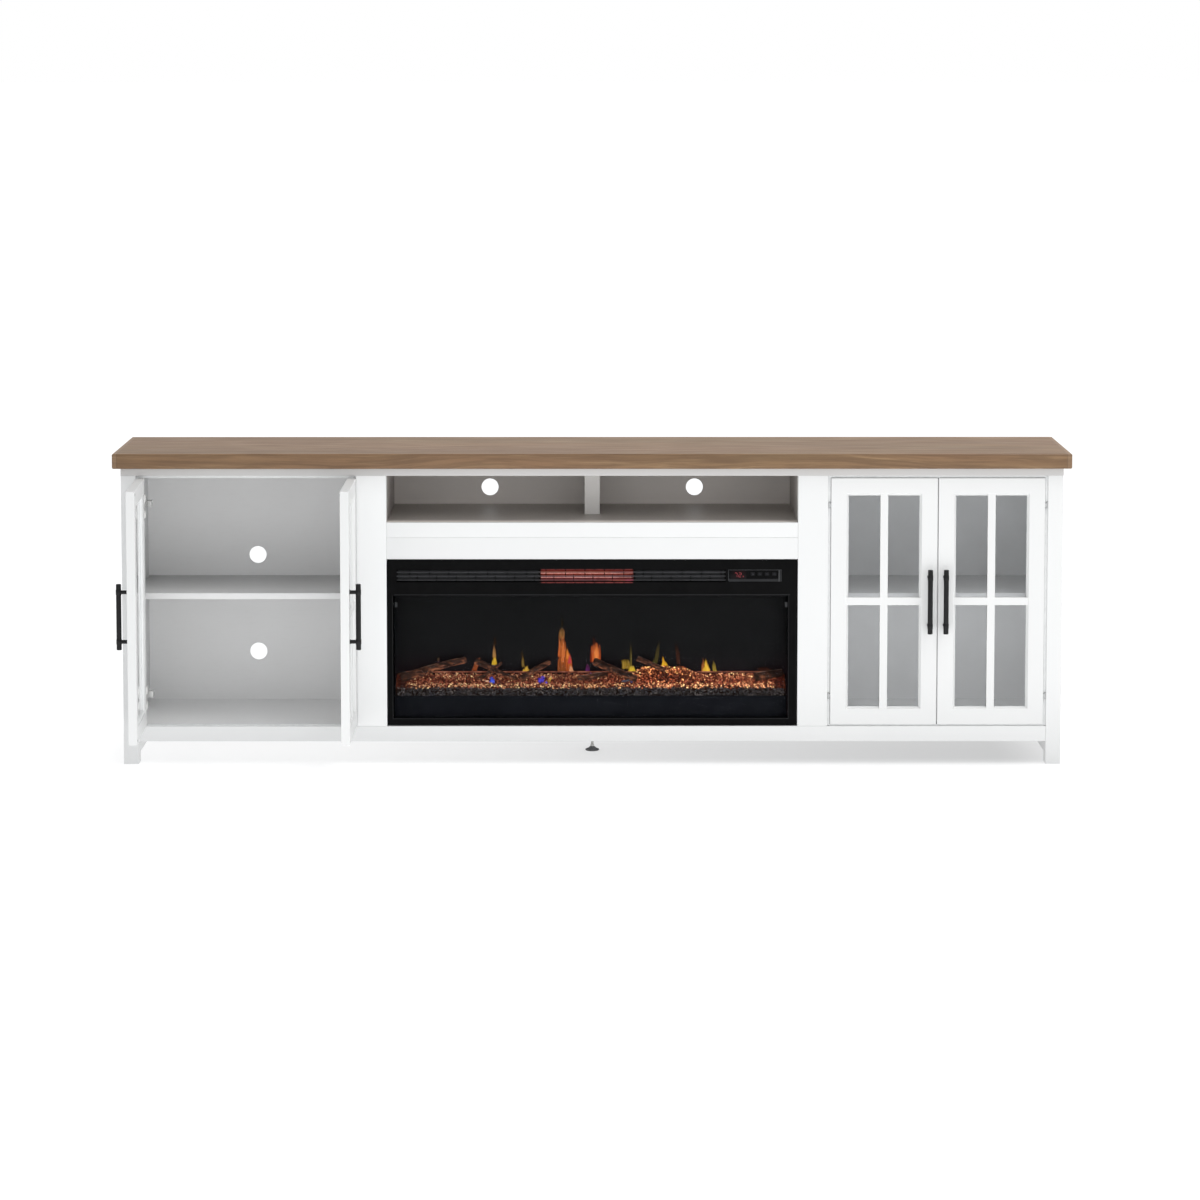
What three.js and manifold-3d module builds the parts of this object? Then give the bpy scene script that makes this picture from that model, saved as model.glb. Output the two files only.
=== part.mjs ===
// Low media cabinet with an electric fireplace insert, four glazed doors and an open media bay.
// Millimetres, +Z up. The front faces -Y and +X is to the right as the front is looked at.
// The origin is on the floor, under the middle of the top, where the centre levelling foot stands.
import * as THREE from "three";
import { ConvexGeometry } from "three/addons/geometries/ConvexGeometry.js";
import { mergeVertices } from "three/addons/utils/BufferGeometryUtils.js";
import Module from "manifold-3d";

// ---------------------------------------------------------------- driving dimensions
const HEIGHT = 813.5; // floor to the top of the slab
const TOP_WIDTH = 2476;
const TOP_DEPTH = 406;
const TOP_THICK = 39;
const TOP_CHAMFER = 2.5;

const FRONT_Y = -186; // the front plane, flush with the stiles and the closed doors
const BACK_DEPTH = 388; // every depth is counted from the front plane
const BODY_HALF = 1217.5; // half the width over the end panels
const BODY_TOP = 755; // underside of the sub-top
const SUB_TOP_PROUD = 2.5;

const LEG_WIDTH = 39;
const END_THICK = 22;
const STILE_REBATE = 25; // depth at which the stile steps out behind the door
const STILE_LEDGE = 7.5; // how far that step shows beside the door
const STILE_DEPTH = 41;

const CENTRE_IN = 532.5; // edge of a centre stile at the fireplace
const CENTRE_OUT = 610.5; // edge of a centre stile at the side bay
const PARTITION_THICK = 18;

const DECK_TOP = 100;
const DECK_THICK = 16;
const RAIL_BOTTOM = 60;
const RAIL_THICK = 22;
const BACK_THICK = 5;

const MEDIA_FLOOR = 633;
const MEDIA_APRON_BOTTOM = 594;
const MEDIA_BOARD = 18;
const LINTEL_BOTTOM = 537.5;
const DIVIDER_HALF = 20;
const DIVIDER_FRONT = 165;

const SHELF_TOP = 439;
const SHELF_THICK = 16;
const SHELF_FRONT = 66;

const HOLE_R = 23;
const SIDE_HOLES_X = [-901, 906];
const SIDE_HOLES_Z = [495, 232];
const MEDIA_HOLE_X = 275;
const MEDIA_HOLE_Z = 678.5;

const DOOR_GAP = 7.5; // hinge edge of the door to the stile
const DOOR_WIDTH = 275;
const DOOR_THICK = 22;
const DOOR_BOTTOM = 104.5;
const DOOR_TOP = 748.5;
const FRAME_WIDTH = 40;
const FRAME_SLOPE = 6;
const MUNTIN = 20;
const MUNTIN_Z = 427;
const GLASS_FRONT = 10.25;
const GLASS_THICK = 4;

const PIVOT = 2.5; // pivot inside the opening and behind the front plane
const HINGE_Z = [
  ["top", 678],
  ["bottom", 179],
];
const KNUCKLE_R = 2.25;
const PIN_R = 1;
const PIN_CLEAR = 0.15;
const CUP_R = 13;
const CUP_U = 25; // cup centre, counted from the stile edge

const HANDLE_IN = 19; // bar axis to the free edge of the door
const HANDLE_Z = 428.5;
const HANDLE_LENGTH = 167.5;
const HANDLE_R = 6.5;
const HANDLE_REACH = 22; // bar axis to the face of the door
const HANDLE_CENTRES = 126;
const POST_R = 5.25;

const INSERT_HALF = 531;
const INSERT_BOTTOM = 103;
const INSERT_TOP = 536.5;
const BEZEL_FRONT = 4;
const BEZEL_BACK = 18;
const WINDOW = [-516, 508, 121, 441]; // x0, x1, z0, z1
const LOUVRE = [-507, 346, 477, 510];
const CONTROL = [352, 492, 477.5, 510];
const KEY_X = [416, 434.5, 453, 472];
const KEY_Z = 498;
const HOUSING_HALF = 524;
const HOUSING_BOTTOM = 104.5;
const HOUSING_TOP = 530;
const HOUSING_BACK = 190;
const SHEET = 2; // thickness of the steel case
const CHAMBER_TOP = 448; // underside of the plate between the flame chamber and the heater
const ROTOR = { depth: 150, z: 200, half: 505, r: 4 };
const BLOWER = { depth: 110, z: 489, half: 120, r: 26 };
const SCREEN_FRONT = 108;
const FOOT_STEM_R = 4;

// ---------------------------------------------------------------- joining and cutting
const wasm = await Module();
wasm.setup();

const at = (depth) => FRONT_Y + depth;

function bare(geometry) {
  const g = geometry.clone();
  for (const name of Object.keys(g.attributes))
    if (name !== "position") g.deleteAttribute(name);
  return mergeVertices(g, 1e-4);
}

function solid(geometry) {
  const g = bare(geometry);
  return new wasm.Manifold(
    new wasm.Mesh({
      numProp: 3,
      vertProperties: new Float32Array(g.attributes.position.array),
      triVerts: new Uint32Array(g.index.array),
    }),
  );
}

function geometryOf(manifold) {
  const m = manifold.getMesh();
  const position = new Float32Array(m.numVert * 3);
  for (let i = 0; i < m.numVert; i++)
    for (let k = 0; k < 3; k++)
      position[i * 3 + k] = m.vertProperties[i * m.numProp + k];
  const g = new THREE.BufferGeometry();
  g.setAttribute("position", new THREE.BufferAttribute(position, 3));
  g.setIndex(new THREE.BufferAttribute(new Uint32Array(m.triVerts), 1));
  const flat = g.toNonIndexed();
  flat.computeVertexNormals();
  return flat;
}

const join = (list) =>
  geometryOf(list.map(solid).reduce((a, b) => a.add(b)));
const cut = (base, tools) =>
  geometryOf(tools.map(solid).reduce((a, b) => a.subtract(b), solid(base)));

// ---------------------------------------------------------------- plain shapes
function box(x0, x1, y0, y1, z0, z1) {
  return new THREE.BoxGeometry(x1 - x0, y1 - y0, z1 - z0).translate(
    (x0 + x1) / 2,
    (y0 + y1) / 2,
    (z0 + z1) / 2,
  );
}

// A board given by depths behind the front plane instead of by y.
const board = (x0, x1, t0, t1, z0, z1) => box(x0, x1, at(t0), at(t1), z0, z1);

function chamfered(x0, x1, y0, y1, z0, z1, c) {
  const points = [];
  for (const [x, sx] of [
    [x0, 1],
    [x1, -1],
  ])
    for (const [y, sy] of [
      [y0, 1],
      [y1, -1],
    ])
      for (const [z, sz] of [
        [z0, 1],
        [z1, -1],
      ])
        points.push(
          new THREE.Vector3(x, y + sy * c, z + sz * c),
          new THREE.Vector3(x + sx * c, y, z + sz * c),
          new THREE.Vector3(x + sx * c, y + sy * c, z),
        );
  return new ConvexGeometry(points);
}

// A plan outline of [x, y] points, raised from z0 to z1.
function plan(points, z0, z1) {
  const shape = new THREE.Shape(points.map(([x, y]) => new THREE.Vector2(x, y)));
  return new THREE.ExtrudeGeometry(shape, {
    depth: z1 - z0,
    bevelEnabled: false,
  }).translate(0, 0, z0);
}

// An end outline of [y, z] points, run from x0 to x1.
function profile(points, x0, x1) {
  const shape = new THREE.Shape(points.map(([y, z]) => new THREE.Vector2(y, z)));
  const g = new THREE.ExtrudeGeometry(shape, {
    depth: x1 - x0,
    bevelEnabled: false,
  });
  // the outline's x, y and the run become y, z and x
  g.applyMatrix4(
    new THREE.Matrix4().set(0, 0, 1, 0, 1, 0, 0, 0, 0, 1, 0, 0, 0, 0, 0, 1),
  );
  return g.translate(x0, 0, 0);
}

function rod(axis, r, a, b, c0, c1, sides = 24) {
  // a and b are the centre in the two other axes, in x, y, z order
  const g = new THREE.CylinderGeometry(r, r, c1 - c0, sides);
  const mid = (c0 + c1) / 2;
  if (axis === "x") return g.rotateZ(-Math.PI / 2).translate(mid, a, b);
  if (axis === "y") return g.translate(a, mid, b);
  return g.rotateX(Math.PI / 2).translate(a, b, mid);
}

// A round bar between two points, thinner at its far end if r1 is smaller.
function log(from, to, r0, r1, sides = 9) {
  const a = new THREE.Vector3(...from);
  const b = new THREE.Vector3(...to);
  const g = new THREE.CylinderGeometry(r1, r0, a.distanceTo(b), sides);
  g.applyQuaternion(
    new THREE.Quaternion().setFromUnitVectors(
      new THREE.Vector3(0, 1, 0),
      b.clone().sub(a).normalize(),
    ),
  );
  return g.translate((a.x + b.x) / 2, (a.y + b.y) / 2, (a.z + b.z) / 2);
}

function mirrored(geometry) {
  const g = geometry.index ? geometry.toNonIndexed() : geometry.clone();
  const p = g.attributes.position;
  for (let i = 0; i < p.count; i += 3) {
    const q = [0, 1, 2].map((k) => [p.getX(i + k), p.getY(i + k), p.getZ(i + k)]);
    [0, 2, 1].forEach((from, k) =>
      p.setXYZ(i + k, -q[from][0], q[from][1], q[from][2]),
    );
  }
  g.computeVertexNormals();
  return g;
}

// ---------------------------------------------------------------- materials
const finish = (color, roughness, metalness = 0, extra = {}) =>
  new THREE.MeshStandardMaterial({ color, roughness, metalness, ...extra });
const WOOD = finish(0x8f7459, 0.5);
const WHITE = finish(0xf1f2f2, 0.45);
const INSIDE = finish(0xe6e6e6, 0.5);
const GLASS = finish(0xaeb4b8, 0.08, 0, { transparent: true, opacity: 0.35 });
const HANDLE = finish(0x17181a, 0.45, 0.8);
const NICKEL = finish(0xdadcdc, 0.35, 0.6);
const STEEL = finish(0x161616, 0.55, 0.5);
const DARK_GLASS = finish(0x0c0d10, 0.06, 0, { transparent: true, opacity: 0.5 });
const EMBER = finish(0x6a3a20, 0.85);
const SCREEN = finish(0x101012, 0.3);
const QUARTZ = finish(0xd05048, 0.3, 0, { emissive: 0xc83a34 });
const KEY = finish(0x1b1c20, 0.3);
const ALLOY = finish(0x9a9c9e, 0.35, 0.9);
const FOOT = finish(0x4a4c4e, 0.5, 0.3);

const stand = new THREE.Group();
stand.name = "fireplace_tv_stand";
function piece(name, geometry, material, parent = stand) {
  const mesh = new THREE.Mesh(geometry, material);
  mesh.name = name;
  parent.add(mesh);
  return mesh;
}

// ---------------------------------------------------------------- top
piece(
  "top_slab",
  chamfered(
    -TOP_WIDTH / 2,
    TOP_WIDTH / 2,
    -TOP_DEPTH / 2,
    TOP_DEPTH / 2,
    HEIGHT - TOP_THICK,
    HEIGHT,
    TOP_CHAMFER,
  ),
  WOOD,
);
piece(
  "sub_top",
  board(
    -BODY_HALF,
    BODY_HALF,
    -SUB_TOP_PROUD,
    BACK_DEPTH,
    BODY_TOP,
    HEIGHT - TOP_THICK,
  ),
  WHITE,
);

// ---------------------------------------------------------------- ends, stiles and partitions
// End panel seen from the side: it stands on the floor along its whole depth.
const endOutline = [
  [STILE_DEPTH, 0],
  [BACK_DEPTH, 0],
  [BACK_DEPTH, BODY_TOP],
  [STILE_DEPTH, BODY_TOP],
].map(([t, z]) => [at(t), z]);

for (const [side, s] of [
  ["left", -1],
  ["right", 1],
]) {
  const span = (a, b) => (s < 0 ? [-b, -a] : [a, b]);
  const [e0, e1] = span(BODY_HALF - END_THICK, BODY_HALF);
  piece(`${side}_end_panel`, profile(endOutline, e0, e1), WHITE);

  const legEdge = BODY_HALF - LEG_WIDTH;
  const leg = join([
    board(...span(legEdge, BODY_HALF), 0, STILE_DEPTH, 0, BODY_TOP),
    board(
      ...span(legEdge - STILE_LEDGE, BODY_HALF),
      STILE_REBATE,
      STILE_DEPTH,
      DECK_TOP,
      BODY_TOP,
    ),
  ]);
  // a hinge arm crosses the ledge behind the door through a shallow notch
  const legNotch = HINGE_Z.map(([, z]) =>
    board(
      ...span(legEdge - STILE_LEDGE - 1, legEdge),
      STILE_REBATE - 1,
      STILE_REBATE + 2,
      z - 9,
      z + 9,
    ),
  );
  piece(`${side}_leg_stile`, cut(leg, legNotch), WHITE);

  const post = join([
    board(...span(CENTRE_IN, CENTRE_OUT), 0, STILE_DEPTH, DECK_TOP, BODY_TOP),
    board(
      ...span(CENTRE_IN, CENTRE_OUT + STILE_LEDGE),
      STILE_REBATE,
      STILE_DEPTH,
      DECK_TOP,
      BODY_TOP,
    ),
  ]);
  const postNotch = HINGE_Z.map(([, z]) =>
    board(
      ...span(CENTRE_OUT, CENTRE_OUT + STILE_LEDGE + 1),
      STILE_REBATE - 1,
      STILE_REBATE + 2,
      z - 9,
      z + 9,
    ),
  );
  piece(`${side}_centre_stile`, cut(post, postNotch), WHITE);

  piece(
    `${side}_partition`,
    board(
      ...span(CENTRE_IN, CENTRE_IN + PARTITION_THICK),
      STILE_DEPTH,
      BACK_DEPTH - BACK_THICK,
      DECK_TOP,
      BODY_TOP,
    ),
    INSIDE,
  );
  piece(
    `${side}_shelf`,
    board(
      ...span(CENTRE_IN + PARTITION_THICK + 0.5, BODY_HALF - END_THICK - 0.5),
      SHELF_FRONT,
      BACK_DEPTH - BACK_THICK - 1,
      SHELF_TOP - SHELF_THICK,
      SHELF_TOP,
    ),
    INSIDE,
  );
}

// ---------------------------------------------------------------- deck, rails and media bay
const deckFront = BODY_HALF - LEG_WIDTH;
const deckSide = BODY_HALF - END_THICK;
const deckOutline = [
  [-deckFront, at(RAIL_THICK)],
  [deckFront, at(RAIL_THICK)],
  [deckFront, at(STILE_DEPTH)],
  [deckSide, at(STILE_DEPTH)],
  [deckSide, at(BACK_DEPTH - BACK_THICK)],
  [-deckSide, at(BACK_DEPTH - BACK_THICK)],
  [-deckSide, at(STILE_DEPTH)],
  [-deckFront, at(STILE_DEPTH)],
];
piece(
  "bottom_deck",
  cut(
    join([
      plan(deckOutline, DECK_TOP - DECK_THICK, DECK_TOP),
      box(-30, 30, -30, 30, 34, DECK_TOP - DECK_THICK + 1),
    ]),
    [rod("z", FOOT_STEM_R + 0.4, 0, 0, 20, 80)],
  ),
  INSIDE,
);
piece(
  "bottom_rail",
  board(-deckFront, deckFront, 0, RAIL_THICK, RAIL_BOTTOM, DECK_TOP),
  WHITE,
);
piece(
  "media_shelf",
  profile(
    [
      [0, MEDIA_APRON_BOTTOM],
      [RAIL_THICK, MEDIA_APRON_BOTTOM],
      [RAIL_THICK, MEDIA_FLOOR - MEDIA_BOARD],
      [BACK_DEPTH - BACK_THICK, MEDIA_FLOOR - MEDIA_BOARD],
      [BACK_DEPTH - BACK_THICK, MEDIA_FLOOR],
      [0, MEDIA_FLOOR],
    ].map(([t, z]) => [at(t), z]),
    -CENTRE_IN,
    CENTRE_IN,
  ),
  WHITE,
);
piece(
  "lintel_rail",
  board(
    -CENTRE_IN,
    CENTRE_IN,
    0,
    RAIL_THICK,
    LINTEL_BOTTOM,
    MEDIA_APRON_BOTTOM,
  ),
  WHITE,
);
piece(
  "media_divider",
  board(
    -DIVIDER_HALF,
    DIVIDER_HALF,
    DIVIDER_FRONT,
    BACK_DEPTH - BACK_THICK,
    MEDIA_FLOOR,
    BODY_TOP,
  ),
  INSIDE,
);

const holeThrough = (x, z) =>
  rod("y", HOLE_R, x, z, at(BACK_DEPTH - 12), at(BACK_DEPTH + 5), 24);
piece(
  "back_panel",
  cut(
    board(
      -deckSide,
      deckSide,
      BACK_DEPTH - BACK_THICK,
      BACK_DEPTH,
      DECK_TOP - DECK_THICK,
      BODY_TOP,
    ),
    [
      ...SIDE_HOLES_X.flatMap((x) => SIDE_HOLES_Z.map((z) => holeThrough(x, z))),
      ...[-1, 1].map((s) => holeThrough(s * MEDIA_HOLE_X, MEDIA_HOLE_Z)),
      board(-330, 330, BACK_DEPTH - 12, BACK_DEPTH + 5, 170, 500),
    ],
  ),
  INSIDE,
);

// Levelling foot: a flared pad on a threaded stem that runs up into the block under the deck.
piece(
  "levelling_foot",
  new THREE.LatheGeometry(
    [
      [0, 0],
      [17.2, 0],
      [18.2, 1],
      [18.2, 3],
      [11.5, 5],
      [9.5, 8.5],
      [6, 11],
      [6, 12.5],
      [FOOT_STEM_R, 12.5],
      [FOOT_STEM_R, 62],
      [3, 63],
      [0, 63],
    ].map(([r, z]) => new THREE.Vector2(r, z)),
    18,
  ).rotateX(Math.PI / 2),
  FOOT,
);

// ---------------------------------------------------------------- doors
// Every door is drawn closed and hinged on its left edge, around its own pivot:
// u runs from the stile edge into the opening and t from the front plane backwards.
const U = (u) => u - PIVOT;
const local = (u0, u1, t0, t1, z0, z1) =>
  box(U(u0), U(u1), U(t0), U(t1), z0, z1);

function doorFrame() {
  const u0 = DOOR_GAP;
  const u1 = DOOR_GAP + DOOR_WIDTH;
  const opening = (inset, t) =>
    [
      [u0 + inset, DOOR_BOTTOM + inset],
      [u1 - inset, DOOR_BOTTOM + inset],
      [u1 - inset, DOOR_TOP - inset],
      [u0 + inset, DOOR_TOP - inset],
    ].map(([u, z]) => new THREE.Vector3(U(u), U(t), z));
  const slope = new ConvexGeometry([
    ...opening(FRAME_WIDTH - 0.75, -1),
    ...opening(FRAME_WIDTH + FRAME_SLOPE, 8),
  ]);
  const sight = FRAME_WIDTH + FRAME_SLOPE;
  const through = local(
    u0 + sight,
    u1 - sight,
    7,
    DOOR_THICK + 1,
    DOOR_BOTTOM + sight,
    DOOR_TOP - sight,
  );
  const rebate = local(
    u0 + FRAME_WIDTH,
    u1 - FRAME_WIDTH,
    GLASS_FRONT - 0.25,
    DOOR_THICK + 1,
    DOOR_BOTTOM + FRAME_WIDTH,
    DOOR_TOP - FRAME_WIDTH,
  );
  const blank = local(u0, u1, 0, DOOR_THICK, DOOR_BOTTOM, DOOR_TOP);
  const cups = HINGE_Z.map(([, z]) =>
    rod("y", CUP_R + 0.25, U(CUP_U), z, U(11), U(DOOR_THICK + 1), 18),
  );
  const frame = cut(blank, [slope, through, rebate, ...cups]);
  const mid = (u0 + u1) / 2;
  const upright = local(
    mid - MUNTIN / 2,
    mid + MUNTIN / 2,
    1.5,
    10,
    DOOR_BOTTOM + FRAME_WIDTH - 1,
    DOOR_TOP - FRAME_WIDTH + 1,
  );
  const cross = local(
    u0 + FRAME_WIDTH - 1,
    u1 - FRAME_WIDTH + 1,
    1.5,
    10,
    MUNTIN_Z - MUNTIN / 2,
    MUNTIN_Z + MUNTIN / 2,
  );
  return join([frame, upright, cross]);
}

function doorGlass() {
  const inset = FRAME_WIDTH + 0.5;
  return local(
    DOOR_GAP + inset,
    DOOR_GAP + DOOR_WIDTH - inset,
    GLASS_FRONT,
    GLASS_FRONT + GLASS_THICK,
    DOOR_BOTTOM + inset,
    DOOR_TOP - inset,
  );
}

function handle() {
  const u = U(DOOR_GAP + DOOR_WIDTH - HANDLE_IN);
  const t = U(-HANDLE_REACH);
  const half = HANDLE_LENGTH / 2;
  const bar = new THREE.LatheGeometry(
    [
      [0, -half],
      [HANDLE_R - 1, -half],
      [HANDLE_R, -half + 1],
      [HANDLE_R, half - 1],
      [HANDLE_R - 1, half],
      [0, half],
    ].map(([r, z]) => new THREE.Vector2(r, z)),
    14,
  )
    .rotateX(Math.PI / 2)
    .translate(u, t, HANDLE_Z);
  const posts = [-1, 1].flatMap((s) => {
    const z = HANDLE_Z + (s * HANDLE_CENTRES) / 2;
    return [
      rod("y", POST_R, u, z, t, U(0), 10),
      rod("z", HANDLE_R + 0.6, u, t, z - 6, z + 6, 14),
    ];
  });
  return join([bar, ...posts]);
}

// Cup, flange and leaf, wrapped round the back corner of the door to its knuckle.
function hingeCup(z) {
  const leaf = plan(
    [
      [U(2.5), U(1.5)],
      [U(7.25), U(1.5)],
      [U(7.25), U(22.25)],
      [U(14), U(22.25)],
      [U(14), U(23.75)],
      [U(5.5), U(23.75)],
      [U(5.5), U(3.5)],
      [U(2.5), U(3.5)],
    ],
    z - 5,
    z + 5,
  );
  const flange = local(11, 37, 22.25, 23.75, z - 31, z + 31);
  const cup = rod("y", CUP_R, U(CUP_U), z, U(11.25), U(23), 18);
  const knuckle = rod("z", KNUCKLE_R, 0, 0, z - 5, z + 5, 12);
  return cut(join([leaf, flange, cup, knuckle]), [
    rod("z", PIN_R + PIN_CLEAR, 0, 0, z - 6, z + 6, 12),
    rod("y", 9.5, U(CUP_U), z, U(14), U(25), 14),
  ]);
}

// Arm, base plate and strap, brought forward beside the stile to two knuckles and the pin.
function hingeArm(z) {
  const strap = (from, z0, z1) =>
    plan(
      [
        [U(0.25), U(from)],
        [U(2), U(from)],
        [U(2), U(STILE_REBATE)],
        [U(9.5), U(STILE_REBATE)],
        [U(9.5), U(STILE_REBATE + 1.75)],
        [U(0.25), U(STILE_REBATE + 1.75)],
      ],
      z0,
      z1,
    );
  return join([
    strap(5.5, z - 8, z + 8),
    strap(PIVOT, z + 5.25, z + 8),
    strap(PIVOT, z - 8, z - 5.25),
    rod("z", KNUCKLE_R, 0, 0, z + 5.25, z + 8, 12),
    rod("z", KNUCKLE_R, 0, 0, z - 8, z - 5.25, 12),
    rod("z", PIN_R, 0, 0, z - 7.5, z + 7.5, 12),
    local(7.75, 9.5, 26.5, STILE_DEPTH, z - 20, z + 20),
    local(7.75, 35.5, 26.5, 58, z - 8, z + 8),
  ]);
}

const DOORS = [
  { name: "left_outer", edge: -(BODY_HALF - LEG_WIDTH), dir: 1, open: 88 },
  { name: "left_inner", edge: -CENTRE_OUT, dir: -1, open: 90 },
  { name: "right_inner", edge: CENTRE_OUT, dir: 1, open: 0 },
  { name: "right_outer", edge: BODY_HALF - LEG_WIDTH, dir: -1, open: 0 },
];
for (const { name, edge, dir, open } of DOORS) {
  const hand = (g) => (dir > 0 ? g : mirrored(g));
  const fixed = new THREE.Group();
  fixed.position.set(edge + dir * PIVOT, at(PIVOT), 0);
  const swing = new THREE.Group();
  swing.position.copy(fixed.position);
  swing.rotation.z = (-dir * open * Math.PI) / 180;
  stand.add(fixed, swing);
  piece(`${name}_door_frame`, hand(doorFrame()), WHITE, swing);
  piece(`${name}_door_glass`, hand(doorGlass()), GLASS, swing);
  piece(`${name}_door_handle`, hand(handle()), HANDLE, swing);
  for (const [where, z] of HINGE_Z) {
    piece(`${name}_${where}_hinge_cup`, hand(hingeCup(z)), NICKEL, swing);
    piece(`${name}_${where}_hinge_arm`, hand(hingeArm(z)), NICKEL, fixed);
  }
}

// ---------------------------------------------------------------- fireplace insert
const pane = ([x0, x1, z0, z1], t0, t1, grow = 0) =>
  board(x0 - grow, x1 + grow, t0, t1, z0 - grow, z1 + grow);

piece(
  "front_bezel",
  cut(
    board(
      -INSERT_HALF,
      INSERT_HALF,
      BEZEL_FRONT,
      BEZEL_BACK,
      INSERT_BOTTOM,
      INSERT_TOP,
    ),
    [
      pane(WINDOW, 0, 30),
      pane(WINDOW, 10, 30, 5),
      pane(LOUVRE, 0, 30),
      board(LOUVRE[0] - 4, LOUVRE[1] + 2, 12, 30, LOUVRE[2] - 4, LOUVRE[3] + 4),
      pane(CONTROL, 0, BEZEL_FRONT + 2),
      board(400, 488, 12, 30, 484, 512),
      ...KEY_X.map((x) =>
        board(x - 5.8, x + 5.8, 0, 30, KEY_Z - 4.8, KEY_Z + 4.8),
      ),
    ],
  ),
  STEEL,
);
piece("front_glass", pane(WINDOW, 10.25, 14.25, 4.5), DARK_GLASS);

// Heater grille: three louvre bars with fine uprights, and a flange behind the bezel.
const GRILLE_ROWS = 2;
const GRILLE_CELLS = 8;
const GRILLE_PITCH = 10.5;
const grillePlate = cut(
  board(
    LOUVRE[0] - 3.5,
    LOUVRE[1] + 1.5,
    12.25,
    14.25,
    LOUVRE[2] - 3.5,
    LOUVRE[3] + 3.5,
  ),
  Array.from({ length: GRILLE_ROWS }, (_, row) => {
    const z0 = LOUVRE[2] + 6.75 + row * GRILLE_PITCH;
    return board(LOUVRE[0] + 3, LOUVRE[1] - 3, 0, 30, z0, z0 + 7.5);
  }),
);
const uprights = Array.from({ length: GRILLE_CELLS - 1 }, (_, i) => {
  const x =
    LOUVRE[0] +
    3 +
    ((i + 1) * (LOUVRE[1] - LOUVRE[0] - 6)) / GRILLE_CELLS;
  return board(x - 0.75, x + 0.75, 12.5, 14, LOUVRE[2] + 1, LOUVRE[3] - 1);
});
const bars = [0, 1, 2].map((row) =>
  board(
    LOUVRE[0] + 1,
    LOUVRE[1] - 1,
    7,
    12.75,
    LOUVRE[2] + 4.125 + row * GRILLE_PITCH,
    LOUVRE[2] + 6.375 + row * GRILLE_PITCH,
  ),
);
piece("heater_grille", join([grillePlate, ...uprights, ...bars]), STEEL);

KEY_X.forEach((x, i) =>
  piece(
    `control_key_${i + 1}`,
    join([
      board(x - 5.5, x + 5.5, 5, 13, KEY_Z - 4.5, KEY_Z + 4.5),
      board(x - 7, x + 7, 12.5, 14, KEY_Z - 6, KEY_Z + 6),
    ]),
    KEY,
  ),
);

// Steel case, open at the front, with the plate under the heater and the four bearing brackets.
const housingShell = cut(
  board(
    -HOUSING_HALF,
    HOUSING_HALF,
    BEZEL_BACK,
    HOUSING_BACK,
    HOUSING_BOTTOM,
    HOUSING_TOP,
  ),
  [
    board(
      -HOUSING_HALF + SHEET,
      HOUSING_HALF - SHEET,
      BEZEL_BACK - 5,
      HOUSING_BACK - SHEET,
      HOUSING_BOTTOM + SHEET,
      HOUSING_TOP - SHEET,
    ),
  ],
);
const bracketAt = (x, part) =>
  cut(
    board(
      x - 1.5,
      x + 1.5,
      part.depth - 12,
      HOUSING_BACK - SHEET + 0.5,
      part.z - 12,
      part.z + 12,
    ),
    [rod("x", part.r0 + 0.4, at(part.depth), part.z, x - 5, x + 5, 16)],
  );
piece(
  "firebox_housing",
  cut(
    join([
      housingShell,
      board(
        -HOUSING_HALF + SHEET - 0.5,
        HOUSING_HALF - SHEET + 0.5,
        BEZEL_BACK + 2,
        HOUSING_BACK - SHEET + 0.5,
        CHAMBER_TOP,
        CHAMBER_TOP + SHEET,
      ),
      ...[-1, 1].map((s) => bracketAt(s * (ROTOR.half - 7), { ...ROTOR, r0: 4 })),
      ...[-1, 1].map((s) =>
        bracketAt(s * (BLOWER.half + 12), { ...BLOWER, r0: 4 }),
      ),
      rod("y", 11, 470, 160, at(HOUSING_BACK - SHEET), at(HOUSING_BACK + 8), 20),
    ]),
    [rod("y", 5, 470, 160, at(HOUSING_BACK - 20), at(HOUSING_BACK + 20), 16)],
  ),
  STEEL,
);

// Ember bed with its logs, in front of the flame screen.
const bedOutline = [
  [21, 112],
  [21, 173],
  [38, 193],
  [62, 209],
  [102, 221],
  [102, 112],
].map(([t, z]) => [at(t), z]);
const mound = new THREE.SphereGeometry(1, 18, 9)
  .scale(86, 24, 26)
  .translate(200, at(76), 209);
const LOGS = [
  [[-500, 66, 218], [-330, 84, 262], 12, 8],
  [[-306, 88, 256], [-196, 66, 210], 8, 5],
  [[-300, 60, 211], [-236, 88, 250], 6, 4],
  [[-190, 62, 213], [-110, 86, 256], 9, 6],
  [[4, 86, 257], [116, 58, 212], 10, 9],
  [[118, 78, 264], [192, 74, 234], 7, 6],
  [[424, 62, 217], [498, 84, 226], 12, 10],
  [[-40, 66, 213], [40, 84, 220], 8, 7],
];
piece(
  "ember_bed",
  join([
    profile(bedOutline, -514, 506),
    mound,
    ...LOGS.map(([a, b, r0, r1]) =>
      log([a[0], at(a[1]), a[2]], [b[0], at(b[1]), b[2]], r0, r1),
    ),
  ]),
  EMBER,
);
piece(
  "flame_screen",
  board(-518, 518, SCREEN_FRONT, SCREEN_FRONT + 3, 107, CHAMBER_TOP - 1),
  SCREEN,
);

// Quartz tubes in their two ceramic holders.
piece(
  "heater_element",
  join([
    ...[0, 1, 2].map((i) =>
      rod("x", 4.5, at(30), 476.5 + i * 10.75, -136, 109, 14),
    ),
    board(-143, -134.5, 23, 37, 469.5, 505.5),
    board(107.5, 116, 23, 37, 469.5, 505.5),
  ]),
  QUARTZ,
);

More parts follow.
